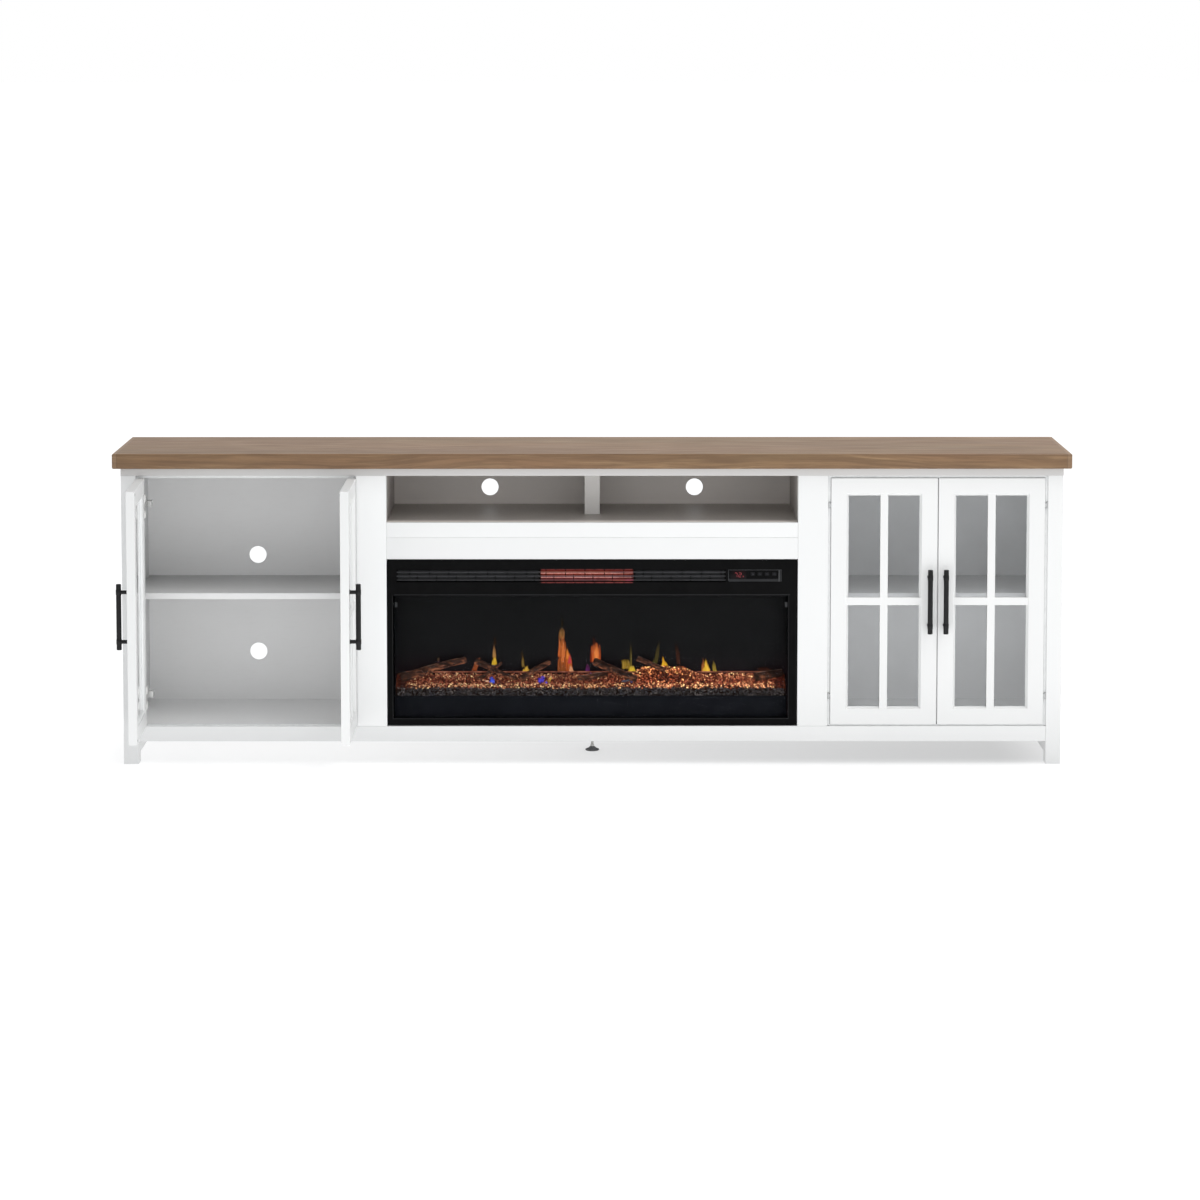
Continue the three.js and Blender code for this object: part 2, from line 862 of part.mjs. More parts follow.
// Flame rotor: a shaft along x with a twist of small reflector vanes.
const rotorParts = [
  rod("x", ROTOR.r, 0, 0, -ROTOR.half, ROTOR.half, 12),
];
for (let i = 0; i < 10; i++)
  rotorParts.push(
    box(-30, 30, -18, 18, -0.6, 0.6)
      .rotateX((i * Math.PI) / 5)
      .translate(-441 + i * 98, 0, 0),
  );
const rotorGroup = new THREE.Group();
rotorGroup.position.set(0, at(ROTOR.depth), ROTOR.z);
stand.add(rotorGroup);
piece("flame_rotor", join(rotorParts), ALLOY, rotorGroup);

// Blower wheel: two end discs on a shaft with long blades between them.
const wheelParts = [
  rod("x", 4, 0, 0, -BLOWER.half - 18, BLOWER.half + 18, 12),
  rod("x", BLOWER.r, 0, 0, -BLOWER.half, -BLOWER.half + 3, 20),
  rod("x", BLOWER.r, 0, 0, BLOWER.half - 3, BLOWER.half, 20),
];
for (let i = 0; i < 12; i++)
  wheelParts.push(
    box(-BLOWER.half + 1, BLOWER.half - 1, -0.7, 0.7, -4, 4)
      .rotateX(0.6)
      .translate(0, 0, BLOWER.r - 6)
      .rotateX((i * 2 * Math.PI) / 12),
  );
const wheelGroup = new THREE.Group();
wheelGroup.position.set(0, at(BLOWER.depth), BLOWER.z);
stand.add(wheelGroup);
piece("blower_wheel", join(wheelParts), ALLOY, wheelGroup);

export default stand;
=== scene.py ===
import math
import random

import bmesh
import bpy
import numpy as np
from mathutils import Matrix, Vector, noise


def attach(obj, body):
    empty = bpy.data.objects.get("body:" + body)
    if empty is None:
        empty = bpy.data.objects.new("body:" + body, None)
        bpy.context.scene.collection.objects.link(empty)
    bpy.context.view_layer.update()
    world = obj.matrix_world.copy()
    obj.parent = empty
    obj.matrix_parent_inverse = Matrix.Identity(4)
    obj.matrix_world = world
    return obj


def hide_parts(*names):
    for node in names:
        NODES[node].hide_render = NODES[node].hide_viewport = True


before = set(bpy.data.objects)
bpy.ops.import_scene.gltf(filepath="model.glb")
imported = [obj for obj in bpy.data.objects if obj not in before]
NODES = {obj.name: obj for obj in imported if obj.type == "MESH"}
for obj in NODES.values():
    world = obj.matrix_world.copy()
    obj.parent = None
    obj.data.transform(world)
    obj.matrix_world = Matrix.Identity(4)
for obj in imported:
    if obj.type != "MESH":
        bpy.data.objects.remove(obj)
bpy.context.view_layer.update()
scene = bpy.context.scene

# Lengths in the tables below are millimetres in the frame of the part. Depths (t) count from the front plane.
MM = 0.001
FRONT_Y = -186.0


def at(t):
    return FRONT_Y + t


# ------------------------------------------------------------------ camera
lens_data = bpy.data.cameras.new("camera")
camera = bpy.data.objects.new("camera", lens_data)
scene.collection.objects.link(camera)
scene.camera = camera
lens_data.sensor_width = 36.0
lens_data.lens = 106.41
lens_data.shift_y = -0.2
lens_data.clip_start, lens_data.clip_end = 0.1, 500.0
camera.location = (0.0026, -0.186 - 9.098, 1.857)
camera.rotation_euler = (math.radians(90.0 - 5.037), 0.0, math.radians(-0.111))

# ------------------------------------------------------------------ light
scene.view_settings.view_transform = "Standard"
scene.view_settings.look = "None"
scene.view_settings.exposure = 0.0
scene.view_settings.gamma = 1.0

world = bpy.data.worlds.new("studio")
scene.world = world
world.use_nodes = True
wt = world.node_tree
wt.nodes.clear()
w_out = wt.nodes.new("ShaderNodeOutputWorld")
w_seen = wt.nodes.new("ShaderNodeBackground")
w_seen.inputs["Color"].default_value = (1, 1, 1, 1)
w_seen.inputs["Strength"].default_value = 1.0
w_fill = wt.nodes.new("ShaderNodeBackground")
w_fill.inputs["Color"].default_value = (0.985, 0.992, 1.0, 1)
# the studio's ceiling is brighter than its side walls; broad pale walls stand behind the camera and behind the cabinet
w_way = wt.nodes.new("ShaderNodeTexCoord")
w_split = wt.nodes.new("ShaderNodeSeparateXYZ")
wt.links.new(w_way.outputs["Generated"], w_split.inputs[0])


def world_ramp(source, lo, hi, a, b):
    n = wt.nodes.new("ShaderNodeMapRange")
    n.interpolation_type = "SMOOTHSTEP"
    wt.links.new(source, n.inputs["Value"])
    for socket, v in (("From Min", lo), ("From Max", hi), ("To Min", a), ("To Max", b)):
        n.inputs[socket].default_value = v
    return n.outputs[0]


def world_math(operation, a, b):
    n = wt.nodes.new("ShaderNodeMath")
    n.operation = operation
    for socket, v in zip(n.inputs, (a, b)):
        if isinstance(v, float):
            socket.default_value = v
        else:
            wt.links.new(v, socket)
    return n.outputs[0]


w_sky = world_ramp(w_split.outputs[2], 0.0, 1.0, 0.33, 0.93)
w_ahead = world_ramp(w_split.outputs[1], -0.45, -0.97, 0.0, 1.0)
w_level = world_ramp(w_split.outputs[2], 0.12, 0.62, 1.0, 0.0)
w_wall = world_math("MULTIPLY", world_math("MULTIPLY", w_ahead, w_level), 0.62)
w_behind = world_math("MULTIPLY", world_ramp(w_split.outputs[1], 0.50, 0.92, 0.0, 1.0), world_ramp(w_split.outputs[2], 0.10, 0.55, 1.0, 0.0))
w_wall = world_math("ADD", w_wall, world_math("MULTIPLY", w_behind, 0.42))
w_aside = world_math("ADD", world_math("MULTIPLY", w_split.outputs[0], 0.30), 1.0)
wt.links.new(world_math("MULTIPLY", world_math("ADD", w_sky, w_wall), w_aside), w_fill.inputs["Strength"])
w_path = wt.nodes.new("ShaderNodeLightPath")
w_mix = wt.nodes.new("ShaderNodeMixShader")
wt.links.new(w_path.outputs["Is Camera Ray"], w_mix.inputs[0])
wt.links.new(w_fill.outputs[0], w_mix.inputs[1])
wt.links.new(w_seen.outputs[0], w_mix.inputs[2])
wt.links.new(w_mix.outputs[0], w_out.inputs["Surface"])

key_data = bpy.data.lights.new("key", "AREA")
key_data.shape = "DISK"
key_data.size = 2.2
key_data.energy = 58.0
key_data.color = (1.0, 0.988, 0.97)
key = bpy.data.objects.new("key", key_data)
scene.collection.objects.link(key)
key.location = (2.1, -1.15, 3.9)
key.rotation_euler = (key.location - Vector((0.0, 0.0, 0.45))).to_track_quat("Z", "Y").to_euler()


# ------------------------------------------------------------------ node helpers
class Tree:
    """A material's nodes, with short calls for the common ones."""

    def __init__(self, name):
        self.material = bpy.data.materials.new(name)
        self.material.use_nodes = True
        self.t = self.material.node_tree
        self.t.nodes.clear()
        self.out = self.t.nodes.new("ShaderNodeOutputMaterial")
        self.xyz = self.node("ShaderNodeTexCoord").outputs["Object"]

    def node(self, kind, inputs=None, **props):
        n = self.t.nodes.new(kind)
        for k, v in props.items():
            setattr(n, k, v)
        for k, v in (inputs or {}).items():
            if isinstance(v, bpy.types.NodeSocket):
                self.t.links.new(v, n.inputs[k])
            else:
                n.inputs[k].default_value = v
        return n

    def scaled(self, x, y, z, source=None):
        return self.node(
            "ShaderNodeMapping",
            {"Vector": source or self.xyz, "Scale": (x, y, z)},
        ).outputs[0]

    def noise(self, vector, scale=1.0, detail=2.0, rough=0.5, distort=0.0):
        return self.node(
            "ShaderNodeTexNoise",
            {
                "Vector": vector,
                "Scale": scale,
                "Detail": detail,
                "Roughness": rough,
                "Distortion": distort,
            },
        ).outputs["Fac"]

    def band(self, value, lo, hi, a=0.0, b=1.0):
        return self.node(
            "ShaderNodeMapRange",
            {
                "Value": value,
                "From Min": lo,
                "From Max": hi,
                "To Min": a,
                "To Max": b,
            },
            interpolation_type="SMOOTHSTEP",
        ).outputs[0]

    def mix(self, fac, a, b, blend="MIX"):
        n = self.node("ShaderNodeMix", data_type="RGBA", blend_type=blend)
        for socket, v in ((n.inputs[0], fac), (n.inputs[6], a), (n.inputs[7], b)):
            if isinstance(v, bpy.types.NodeSocket):
                self.t.links.new(v, socket)
            elif isinstance(v, (tuple, list)):
                socket.default_value = (*v[:3], 1.0)
            else:
                socket.default_value = v
        return n.outputs[2]

    def math(self, op, a, b=None, clamp=False):
        n = self.node("ShaderNodeMath", operation=op, use_clamp=clamp)
        for socket, v in zip(n.inputs, (a, b)):
            if v is None:
                continue
            if isinstance(v, bpy.types.NodeSocket):
                self.t.links.new(v, socket)
            else:
                socket.default_value = v
        return n.outputs[0]

    def bump(self, height, strength, distance, normal=None):
        inputs = {"Height": height, "Strength": strength, "Distance": distance}
        if normal is not None:
            inputs["Normal"] = normal
        return self.node("ShaderNodeBump", inputs).outputs[0]

    def attribute(self, name):
        return self.node("ShaderNodeAttribute", attribute_name=name)

    def principled(self, **inputs):
        n = self.node("ShaderNodeBsdfPrincipled")
        for k, v in inputs.items():
            socket = n.inputs[k.replace("_", " ")]
            if isinstance(v, bpy.types.NodeSocket):
                self.t.links.new(v, socket)
            elif isinstance(v, (tuple, list)) and len(v) == 3:
                socket.default_value = (*v, 1.0)
            else:
                socket.default_value = v
        self.t.links.new(n.outputs[0], self.out.inputs["Surface"])
        return n

    def surface(self, shader):
        self.t.links.new(shader, self.out.inputs["Surface"])


def finish(
    name,
    light,
    dark,
    rough=(0.4, 0.5),
    tone=18.0,
    grain=700.0,
    relief=0.08,
    depth=0.0002,
    metal=0.0,
    specular=0.5,
    stretch=(1, 1, 1),
    coat=0.0,
    detail=3.0,
):
    """A surface that wanders between two tones, with a fine relief at a scale of its own."""
    m = Tree(name)
    v = m.scaled(*stretch)
    spots = m.noise(v, tone, detail, 0.6)
    fine = m.noise(v, grain, 2.0, 0.6)
    colour = m.mix(m.band(spots, 0.3, 0.7), dark, light)
    roughness = m.band(m.noise(v, tone * 3.1, 2.0), 0.25, 0.75, rough[0], rough[1])
    p = m.principled(
        Base_Color=colour,
        Roughness=roughness,
        Normal=m.bump(fine, relief, depth),
        Metallic=metal,
        Coat_Weight=coat,
    )
    p.inputs["Specular IOR Level"].default_value = specular
    return m.material


# ------------------------------------------------------------------ wood of the top
def wood():
    m = Tree("walnut_laminate")
    x, y, z = (m.node("ShaderNodeSeparateXYZ", {0: m.xyz}).outputs[i] for i in range(3))
    # across runs over the top and down its edges, so the figure folds round the corner
    across = m.math("ADD", y, m.math("MULTIPLY", z, 1.0))
    face = m.node("ShaderNodeTexCoord").outputs["Normal"]
    nx = m.math("ABSOLUTE", m.node("ShaderNodeSeparateXYZ", {0: face}).outputs[0])
    is_end = m.math("GREATER_THAN", nx, 0.75)

    def pick(a, b):
        n = m.node("ShaderNodeMix", data_type="FLOAT")
        for socket, v in ((n.inputs[0], is_end), (n.inputs[2], a), (n.inputs[3], b)):
            m.t.links.new(v, socket)
        return n.outputs[0]

    along = pick(x, y)
    over = pick(across, z)
    slow = m.noise(
        m.node(
            "ShaderNodeCombineXYZ",
            {0: m.math("MULTIPLY", along, 1.3), 1: m.math("MULTIPLY", over, 5.0), 2: 0.3},
        ).outputs[0],
        1.0,
        2.0,
    )
    warp = m.math("MULTIPLY", m.math("SUBTRACT", slow, 0.5), 0.09)
    bent = m.math("ADD", over, warp)

    def grain(u, v, seed, detail, rough=0.55):
        vector = m.node(
            "ShaderNodeCombineXYZ",
            {0: m.math("MULTIPLY", along, u), 1: m.math("MULTIPLY", bent, v), 2: seed},
        ).outputs[0]
        return m.noise(vector, 1.0, detail, rough)

    boards = grain(0.55, 9.0, 1.7, 2.0)
    figure = grain(1.2, 34.0, 4.1, 4.0, 0.6)
    streaks = grain(5.0, 125.0, 7.9, 5.0, 0.65)
    pale = grain(3.2, 62.0, 44.0, 3.0, 0.6)
    fibres = grain(16.0, 900.0, 12.3, 3.0, 0.6)
    pores = grain(42.0, 1500.0, 21.7, 1.0)
    hue = grain(0.9, 5.0, 31.0, 2.0)
    rings = m.node(
        "ShaderNodeTexWave",
        {
            "Vector": m.node(
                "ShaderNodeCombineXYZ",
                {0: m.math("MULTIPLY", along, 0.5), 1: m.math("MULTIPLY", bent, 9.0), 2: 0.0},
            ).outputs[0],
            "Scale": 1.0,
            "Distortion": 5.5,
            "Detail": 3.0,
            "Detail Scale": 1.1,
            "Detail Roughness": 0.55,
        },
        wave_type="BANDS",
        bands_direction="Y",
    ).outputs["Fac"]

    light, dark = (0.268, 0.156, 0.070), (0.128, 0.068, 0.027)
    tone = m.math(
        "ADD",
        m.math("MULTIPLY", m.band(boards, 0.3, 0.7), 0.40),
        m.math("MULTIPLY", m.band(figure, 0.3, 0.7), 0.38),
    )
    tone = m.math("ADD", tone, m.math("MULTIPLY", rings, 0.22))
    colour = m.mix(tone, dark, light)
    colour = m.mix(m.band(hue, 0.35, 0.65, 0.0, 0.34), colour, (0.250, 0.128, 0.068))
    olive = grain(0.8, 7.0, 57.0, 2.0)
    colour = m.mix(m.band(olive, 0.5, 0.75, 0.0, 0.34), colour, (0.205, 0.146, 0.066))
    colour = m.mix(m.band(pale, 0.50, 0.70, 0.0, 0.45), colour, (0.345, 0.222, 0.112))
    colour = m.mix(m.band(streaks, 0.40, 0.62, 0.0, 0.60), colour, (0.112, 0.058, 0.023))
    colour = m.mix(m.band(fibres, 0.42, 0.72, 0.0, 0.22), colour, (0.105, 0.058, 0.027))
    colour = m.mix(m.band(pores, 0.66, 0.72, 0.0, 0.35), colour, (0.070, 0.042, 0.024))
    # a banded strip, lighter by a shade, runs along each end of the top behind a fine joint
    from_end = m.math("SUBTRACT", 1.238, m.math("ABSOLUTE", x))
    strip = m.math("LESS_THAN", from_end, 0.0125)
    joint = m.math(
        "LESS_THAN", m.math("ABSOLUTE", m.math("SUBTRACT", from_end, 0.0125)), 0.0007
    )
    colour = m.mix(m.math("MULTIPLY", strip, 0.22), colour, (0.36, 0.25, 0.165))
    colour = m.mix(m.math("MULTIPLY", joint, 0.55), colour, (0.10, 0.058, 0.032))
    nz = m.node("ShaderNodeSeparateXYZ", {0: face}).outputs[2]
    # painted sheen: faces that look up are made 1.27 times lighter, for the light their sheen reflects
    colour = m.mix(m.band(nz, 0.6, 0.9), colour, m.mix(1.0, colour, (1.27, 1.27, 1.27), "MULTIPLY"))
    # the edge band is a little darker along both of its arrises
    arris = m.math("ADD", m.band(z, 0.7745, 0.7790, 0.40, 0.0), m.band(z, 0.8075, 0.8120, 0.0, 0.34))
    arris = m.math("MULTIPLY", arris, m.band(m.math("ABSOLUTE", nz), 0.4, 0.7, 1.0, 0.0))
    colour = m.mix(arris, colour, (0.090, 0.050, 0.022))
    height = m.math(
        "SUBTRACT",
        m.math("MULTIPLY", fibres, 0.5),
        m.math("MULTIPLY", m.band(pores, 0.66, 0.74), 0.6),
    )
    p = m.principled(
        Base_Color=colour,
        Roughness=m.band(streaks, 0.3, 0.7, 0.38, 0.50),
        Normal=m.bump(height, 0.20, 0.00025),
    )
    p.inputs["Specular IOR Level"].default_value = 0.50
    return m.material


WOOD = wood()


# ------------------------------------------------------------------ paints and boards
def bay_painted_shade(m, colour, wall, floor, side):
    """Painted shade in the media bay: a warm grey over its back, darker on its floor and darker still on its sides, in
    faint patches, fading in from the front edge.
    """
    x, y, z = (m.node("ShaderNodeSeparateXYZ", {0: m.xyz}).outputs[i] for i in range(3))
    normal = m.node("ShaderNodeSeparateXYZ", {0: m.node("ShaderNodeTexCoord").outputs["Normal"]})
    inside = m.math("LESS_THAN", m.math("ABSOLUTE", x), 0.5338)
    inside = m.math("MULTIPLY", inside, m.math("GREATER_THAN", z, 0.6322))
    inside = m.math("MULTIPLY", inside, m.band(y, at(1.0) * MM, at(26.0) * MM, 0.0, 1.0))
    inside = m.math("MULTIPLY", inside, m.math("LESS_THAN", y, at(386.5) * MM))
    up = m.band(normal.outputs[2], 0.5, 0.9)
    across = m.band(m.math("ABSOLUTE", normal.outputs[0]), 0.5, 0.9)
    # painted light: the front strip of the floor is left twice as light as the rest, for the light that falls along the
    # front edge
    deep = m.band(y, at(20.0) * MM, at(60.0) * MM)
    ground = m.mix(deep, [c * 2.0 for c in floor], floor)
    drift = m.noise(m.scaled(1.2, 6, 6), 1.0, 2.0)
    tint = m.mix(up, m.mix(across, wall, side), ground)
    tint = m.mix(m.band(drift, 0.3, 0.7, 0.0, 0.12), tint, (0.5, 0.46, 0.44))
    return m.mix(inside, colour, m.mix(1.0, colour, tint, "MULTIPLY"))


# painted shade of the media bay: the tints of its back, its floor and its sides
BAY_WALL_SHADE, BAY_FLOOR_SHADE, BAY_SIDE_SHADE = (1.0, 0.945, 0.90), (0.60, 0.55, 0.51), (0.50, 0.465, 0.445)


def paint(name, light, dark, rough=(0.38, 0.48), specular=0.45, bay=False, wall=BAY_WALL_SHADE):
    """Sprayed paint: faint orange peel over a board that is not perfectly even."""
    m = Tree(name)
    cloud = m.noise(m.xyz, 2.4, 3.0, 0.55)
    peel = m.noise(m.xyz, 520.0, 2.0, 0.55)
    brush = m.noise(m.scaled(1, 1, 0.12), 160.0, 2.0, 0.5)
    colour = m.mix(m.band(cloud, 0.3, 0.7), dark, light)
    colour = m.mix(m.band(peel, 0.55, 0.8, 0.0, 0.05), colour, (0.70, 0.71, 0.72))
    # bay: painted shade inside the media bay
    if bay:
        colour = bay_painted_shade(m, colour, wall, BAY_FLOOR_SHADE, BAY_SIDE_SHADE)
    height = m.math("ADD", peel, m.math("MULTIPLY", brush, 0.5))
    p = m.principled(
        Base_Color=colour,
        Roughness=m.band(brush, 0.3, 0.7, *rough),
        Normal=m.bump(height, 0.07, 0.00012),
    )
    p.inputs["Specular IOR Level"].default_value = specular
    return m.material


WHITE = paint("white_satin_paint", (0.745, 0.751, 0.750), (0.728, 0.735, 0.735))
# painted light: the left centre stile is painted lighter, to cancel the shade of the open door beside it
STILE_WHITE_PAINTED_LIGHT = paint("stile_satin_paint_painted_light", (0.840, 0.846, 0.845), (0.820, 0.827, 0.827))
DOOR_WHITE = paint("door_satin_paint", (0.735, 0.741, 0.739), (0.720, 0.726, 0.725))
SHADE_WHITE = paint("shaded_satin_paint", (0.570, 0.562, 0.555), (0.552, 0.545, 0.539))
# the media shelf and the divider carry the painted shade of the media bay
BAY_PAINT_PAINTED_SHADE = paint("bay_satin_paint_painted_shade", (0.766, 0.772, 0.772), (0.748, 0.755, 0.756), bay=True)
DIVIDER_PAINT_PAINTED_SHADE = paint("divider_satin_paint_painted_shade", (0.812, 0.820, 0.820), (0.792, 0.801, 0.802), bay=True, wall=(0.93, 0.90, 0.87))


def inner_board(name, bay=False, shade=None):
    """Melamine lining: a shade warmer, with a faint pressed grain."""
    m = Tree(name)
    cloud = m.noise(m.xyz, 3.1, 3.0, 0.55)
    press = m.noise(m.scaled(0.14, 1, 1), 240.0, 3.0, 0.6)
    speck = m.noise(m.xyz, 900.0, 1.0)
    colour = m.mix(m.band(cloud, 0.3, 0.7), (0.925, 0.924, 0.922), (0.945, 0.945, 0.944))
    colour = m.mix(m.band(press, 0.5, 0.75, 0.0, 0.08), colour, (0.72, 0.718, 0.715))
    # bay: painted shade inside the media bay
    if bay:
        colour = bay_painted_shade(m, colour, BAY_WALL_SHADE, BAY_FLOOR_SHADE, BAY_SIDE_SHADE)
    # shade: painted shade, a darkening from the front of the board towards its back
    if shade:
        y = m.node("ShaderNodeSeparateXYZ", {0: m.xyz}).outputs[1]
        tint = m.mix(m.band(y, at(70.0) * MM, at(370.0) * MM), (shade[0],) * 3, (shade[1],) * 3)
        colour = m.mix(1.0, colour, tint, "MULTIPLY")
    p = m.principled(
        Base_Color=colour,
        Roughness=m.band(press, 0.3, 0.7, 0.42, 0.55),
        Normal=m.bump(m.math("ADD", press, m.math("MULTIPLY", speck, 0.4)), 0.06, 0.00015),
    )
    p.inputs["Specular IOR Level"].default_value = 0.35
    return m.material


# the partitions and the back panel carry the painted shade of the media bay
BAY_BOARD_PAINTED_SHADE = inner_board("media_bay_melamine_painted_shade", True)
INNER = inner_board("white_melamine")
# painted shade: the shelves are darkened to 0.83 at the front and 0.55 at the back, for the shadow of the top
SHELF_BOARD_PAINTED_SHADE = inner_board("shelf_melamine_painted_shade", shade=(0.83, 0.55))
HANDLE_BLACK = finish(
    "black_powder_coat", (0.0085, 0.0085, 0.0092), (0.0050, 0.0050, 0.0056),
    rough=(0.36, 0.48), tone=60, grain=1500, relief=0.22, depth=0.00012, specular=0.22,
)
def hinge_metal():
    """Bright nickel on the arms and cups, satin grey on the barrels that stand in the gap beside the door."""
    m = Tree("hinge_nickel_plate")
    v = m.scaled(1, 1, 0.15)
    spots = m.noise(v, 45.0, 3.0, 0.6)
    x, y, _ = (m.node("ShaderNodeSeparateXYZ", {0: m.xyz}).outputs[i] for i in range(3))
    barrel = m.band(m.math("ABSOLUTE", m.math("SUBTRACT", y, at(2.5) * MM)), 0.0046, 0.0060, 1.0, 0.0)
    near = 0.0
    for edge in (-1176.0, -613.0, 613.0, 1176.0):
        near = m.math("ADD", near, m.band(m.math("ABSOLUTE", m.math("SUBTRACT", x, edge * MM)), 0.0040, 0.0052, 1.0, 0.0))
    barrel = m.math("MULTIPLY", barrel, near, clamp=True)
    colour = m.mix(m.band(spots, 0.3, 0.7), (0.64, 0.64, 0.63), (0.76, 0.76, 0.75))
    p = m.principled(
        Base_Color=m.mix(barrel, colour, m.mix(spots, (0.40, 0.41, 0.41), (0.50, 0.51, 0.51))),
        Roughness=m.math("ADD", m.band(m.noise(v, 140.0, 2.0), 0.25, 0.75, 0.24, 0.36), m.math("MULTIPLY", barrel, 0.25)),
        Metallic=m.math("SUBTRACT", 0.85, m.math("MULTIPLY", barrel, 0.75)),
        Normal=m.bump(m.noise(v, 900.0, 2.0, 0.6), 0.05, 0.0002),
    )
    p.inputs["Specular IOR Level"].default_value = 0.5
    return m.material


HINGE_METAL = hinge_metal()
NICKEL = finish(
    "nickel_plate", (0.76, 0.76, 0.75), (0.64, 0.64, 0.63),
    rough=(0.24, 0.36), tone=45, grain=900, relief=0.05, metal=0.85, stretch=(1, 1, 0.15),
)
BRIGHT_NICKEL = finish(
    "bright_nickel", (0.90, 0.90, 0.89), (0.80, 0.80, 0.79),
    rough=(0.30, 0.42), tone=45, grain=900, relief=0.05, metal=0.55, stretch=(1, 1, 0.15),
)
SCREW = finish(
    "zinc_screw", (0.62, 0.62, 0.60), (0.42, 0.42, 0.41),
    rough=(0.25, 0.42), tone=240, grain=1800, relief=0.08, metal=0.9,
)
INSERT_STEEL = finish(
    "black_textured_steel", (0.0036, 0.0036, 0.0038), (0.0024, 0.0024, 0.0026),
    rough=(0.50, 0.62), tone=30, grain=1300, relief=0.30, depth=0.00014, specular=0.042,
)
INNER_STEEL = finish(
    "black_chamber_steel", (0.0050, 0.0050, 0.0056), (0.0034, 0.0034, 0.0039),
    rough=(0.6, 0.75), tone=22, grain=900, relief=0.2, depth=0.00012, specular=0.05,
)
TRIM = finish(
    "dark_grey_trim", (0.040, 0.041, 0.044), (0.026, 0.027, 0.029),
    rough=(0.34, 0.44), tone=40, grain=1200, relief=0.12, specular=0.25,
)
BAR_GREY = finish(
    "grey_lit_edge", (0.082, 0.083, 0.087), (0.060, 0.061, 0.064),
    rough=(0.34, 0.44), tone=12, grain=1200, relief=0.12, specular=0.3,
)
EDGE_LINE = finish(
    "black_edge_line", (0.0150, 0.0155, 0.0175), (0.0095, 0.0098, 0.0110),
    rough=(0.34, 0.44), tone=12, grain=1200, relief=0.12, specular=0.2,
)
KEY_BLACK = finish(
    "black_key", (0.0075, 0.0075, 0.0085), (0.0048, 0.0048, 0.0055),
    rough=(0.30, 0.42), tone=90, grain=1400, relief=0.10, depth=0.0001, specular=0.10,
)
DUST_MESH = finish(
    "black_dust_mesh", (0.0320, 0.0322, 0.0340), (0.0190, 0.0192, 0.0205),
    rough=(0.5, 0.65), tone=1200, grain=1500, relief=0.5, depth=0.0003, specular=0.10,
)
TRAY_STEEL = finish(
    "blue_black_tray", (0.0086, 0.0094, 0.0124), (0.0060, 0.0066, 0.0090),
    rough=(0.6, 0.75), tone=22, grain=900, relief=0.2, depth=0.00012, specular=0.05,
)
SEAL = finish(
    "white_door_seal", (0.76, 0.77, 0.77), (0.71, 0.72, 0.72),
    rough=(0.55, 0.70), tone=60, grain=1200, relief=0.2, specular=0.25,
)
FOOT_PLASTIC = finish(
    "grey_glide", (0.105, 0.108, 0.112), (0.070, 0.072, 0.075),
    rough=(0.42, 0.56), tone=120, grain=1400, relief=0.2, specular=0.4,
)
ALLOY = finish(
    "brushed_alloy", (0.60, 0.61, 0.62), (0.46, 0.47, 0.48),
    rough=(0.22, 0.40), tone=30, grain=1600, relief=0.18, metal=0.95, stretch=(0.08, 1, 1),
)
HOLDER = finish(
    "sooty_ceramic", (0.022, 0.019, 0.018), (0.012, 0.011, 0.010),
    rough=(0.6, 0.75), tone=90, grain=1100, relief=0.3, specular=0.15,
)
BUMPER = finish(
    "clear_bumper", (0.55, 0.56, 0.56), (0.47, 0.48, 0.48),
    rough=(0.18, 0.28), tone=200, grain=900, relief=0.03, specular=0.5,
)
BEAD = finish(
    "white_glazing_bead", (0.83, 0.84, 0.84), (0.79, 0.80, 0.80),
    rough=(0.40, 0.52), tone=25, grain=1300, relief=0.10, specular=0.4,
)


def pane(name, tint, fac, ripple, mirror_rough, specks=0.0):
    """A thin pane: what is behind shows through a slight tint, under a faint rippled reflection."""
    m = Tree(name)
    wave = m.noise(m.scaled(1, 1, 0.6), 9.0, 2.0, 0.5)
    bump = m.bump(wave, ripple, 0.004)
    film = m.noise(m.xyz, 14.0, 4.0, 0.6)
    through = m.node(
        "ShaderNodeBsdfTransparent",
        {"Color": m.mix(m.band(film, 0.35, 0.7), tint, [c * 0.985 for c in tint])},
    )
    gloss = m.node(
        "ShaderNodeBsdfGlossy",
        {"Color": (1, 1, 1, 1), "Roughness": mirror_rough, "Normal": bump},
    )
    # the same on the front and the back of the pane, so that it stays clear when it is looked through at a slant
    facing = m.node("ShaderNodeLayerWeight", {"Blend": 0.5, "Normal": bump}).outputs["Facing"]
    mirror = m.math("ADD", m.math("MULTIPLY", m.math("POWER", facing, 5.0), 0.966), 0.034)
    share = m.math("MULTIPLY", mirror, fac)
    if specks:
        dust = m.band(m.noise(m.xyz, 420.0, 2.0), 0.70, 0.80, 0.0, specks)
        share = m.math("ADD", share, dust)
    mixed = m.node("ShaderNodeMixShader", {0: share})
    m.t.links.new(through.outputs[0], mixed.inputs[1])
    m.t.links.new(gloss.outputs[0], mixed.inputs[2])
    m.surface(mixed.outputs[0])
    return m.material


DOOR_GLASS = pane("cabinet_glass", (0.955, 0.962, 0.968), 1.40, 0.006, 0.04)
INSERT_GLASS = pane("fire_glass", (0.90, 0.905, 0.915), 0.014, 0.02, 0.07, specks=0.0005)


# ------------------------------------------------------------------ geometry helpers
class Mesh:
    """Vertices and faces that grow part by part, in millimetres."""

    def __init__(self):
        self.v, self.f, self.n = [], [], 0

    def add(self, verts, faces):
        verts = np.asarray(verts, float).reshape(-1, 3)
        self.v.append(verts)
        self.f.extend([tuple(i + self.n for i in face) for face in faces])
        self.n += len(verts)
        return self

    def points(self):
        return np.concatenate(self.v) if self.v else np.zeros((0, 3))


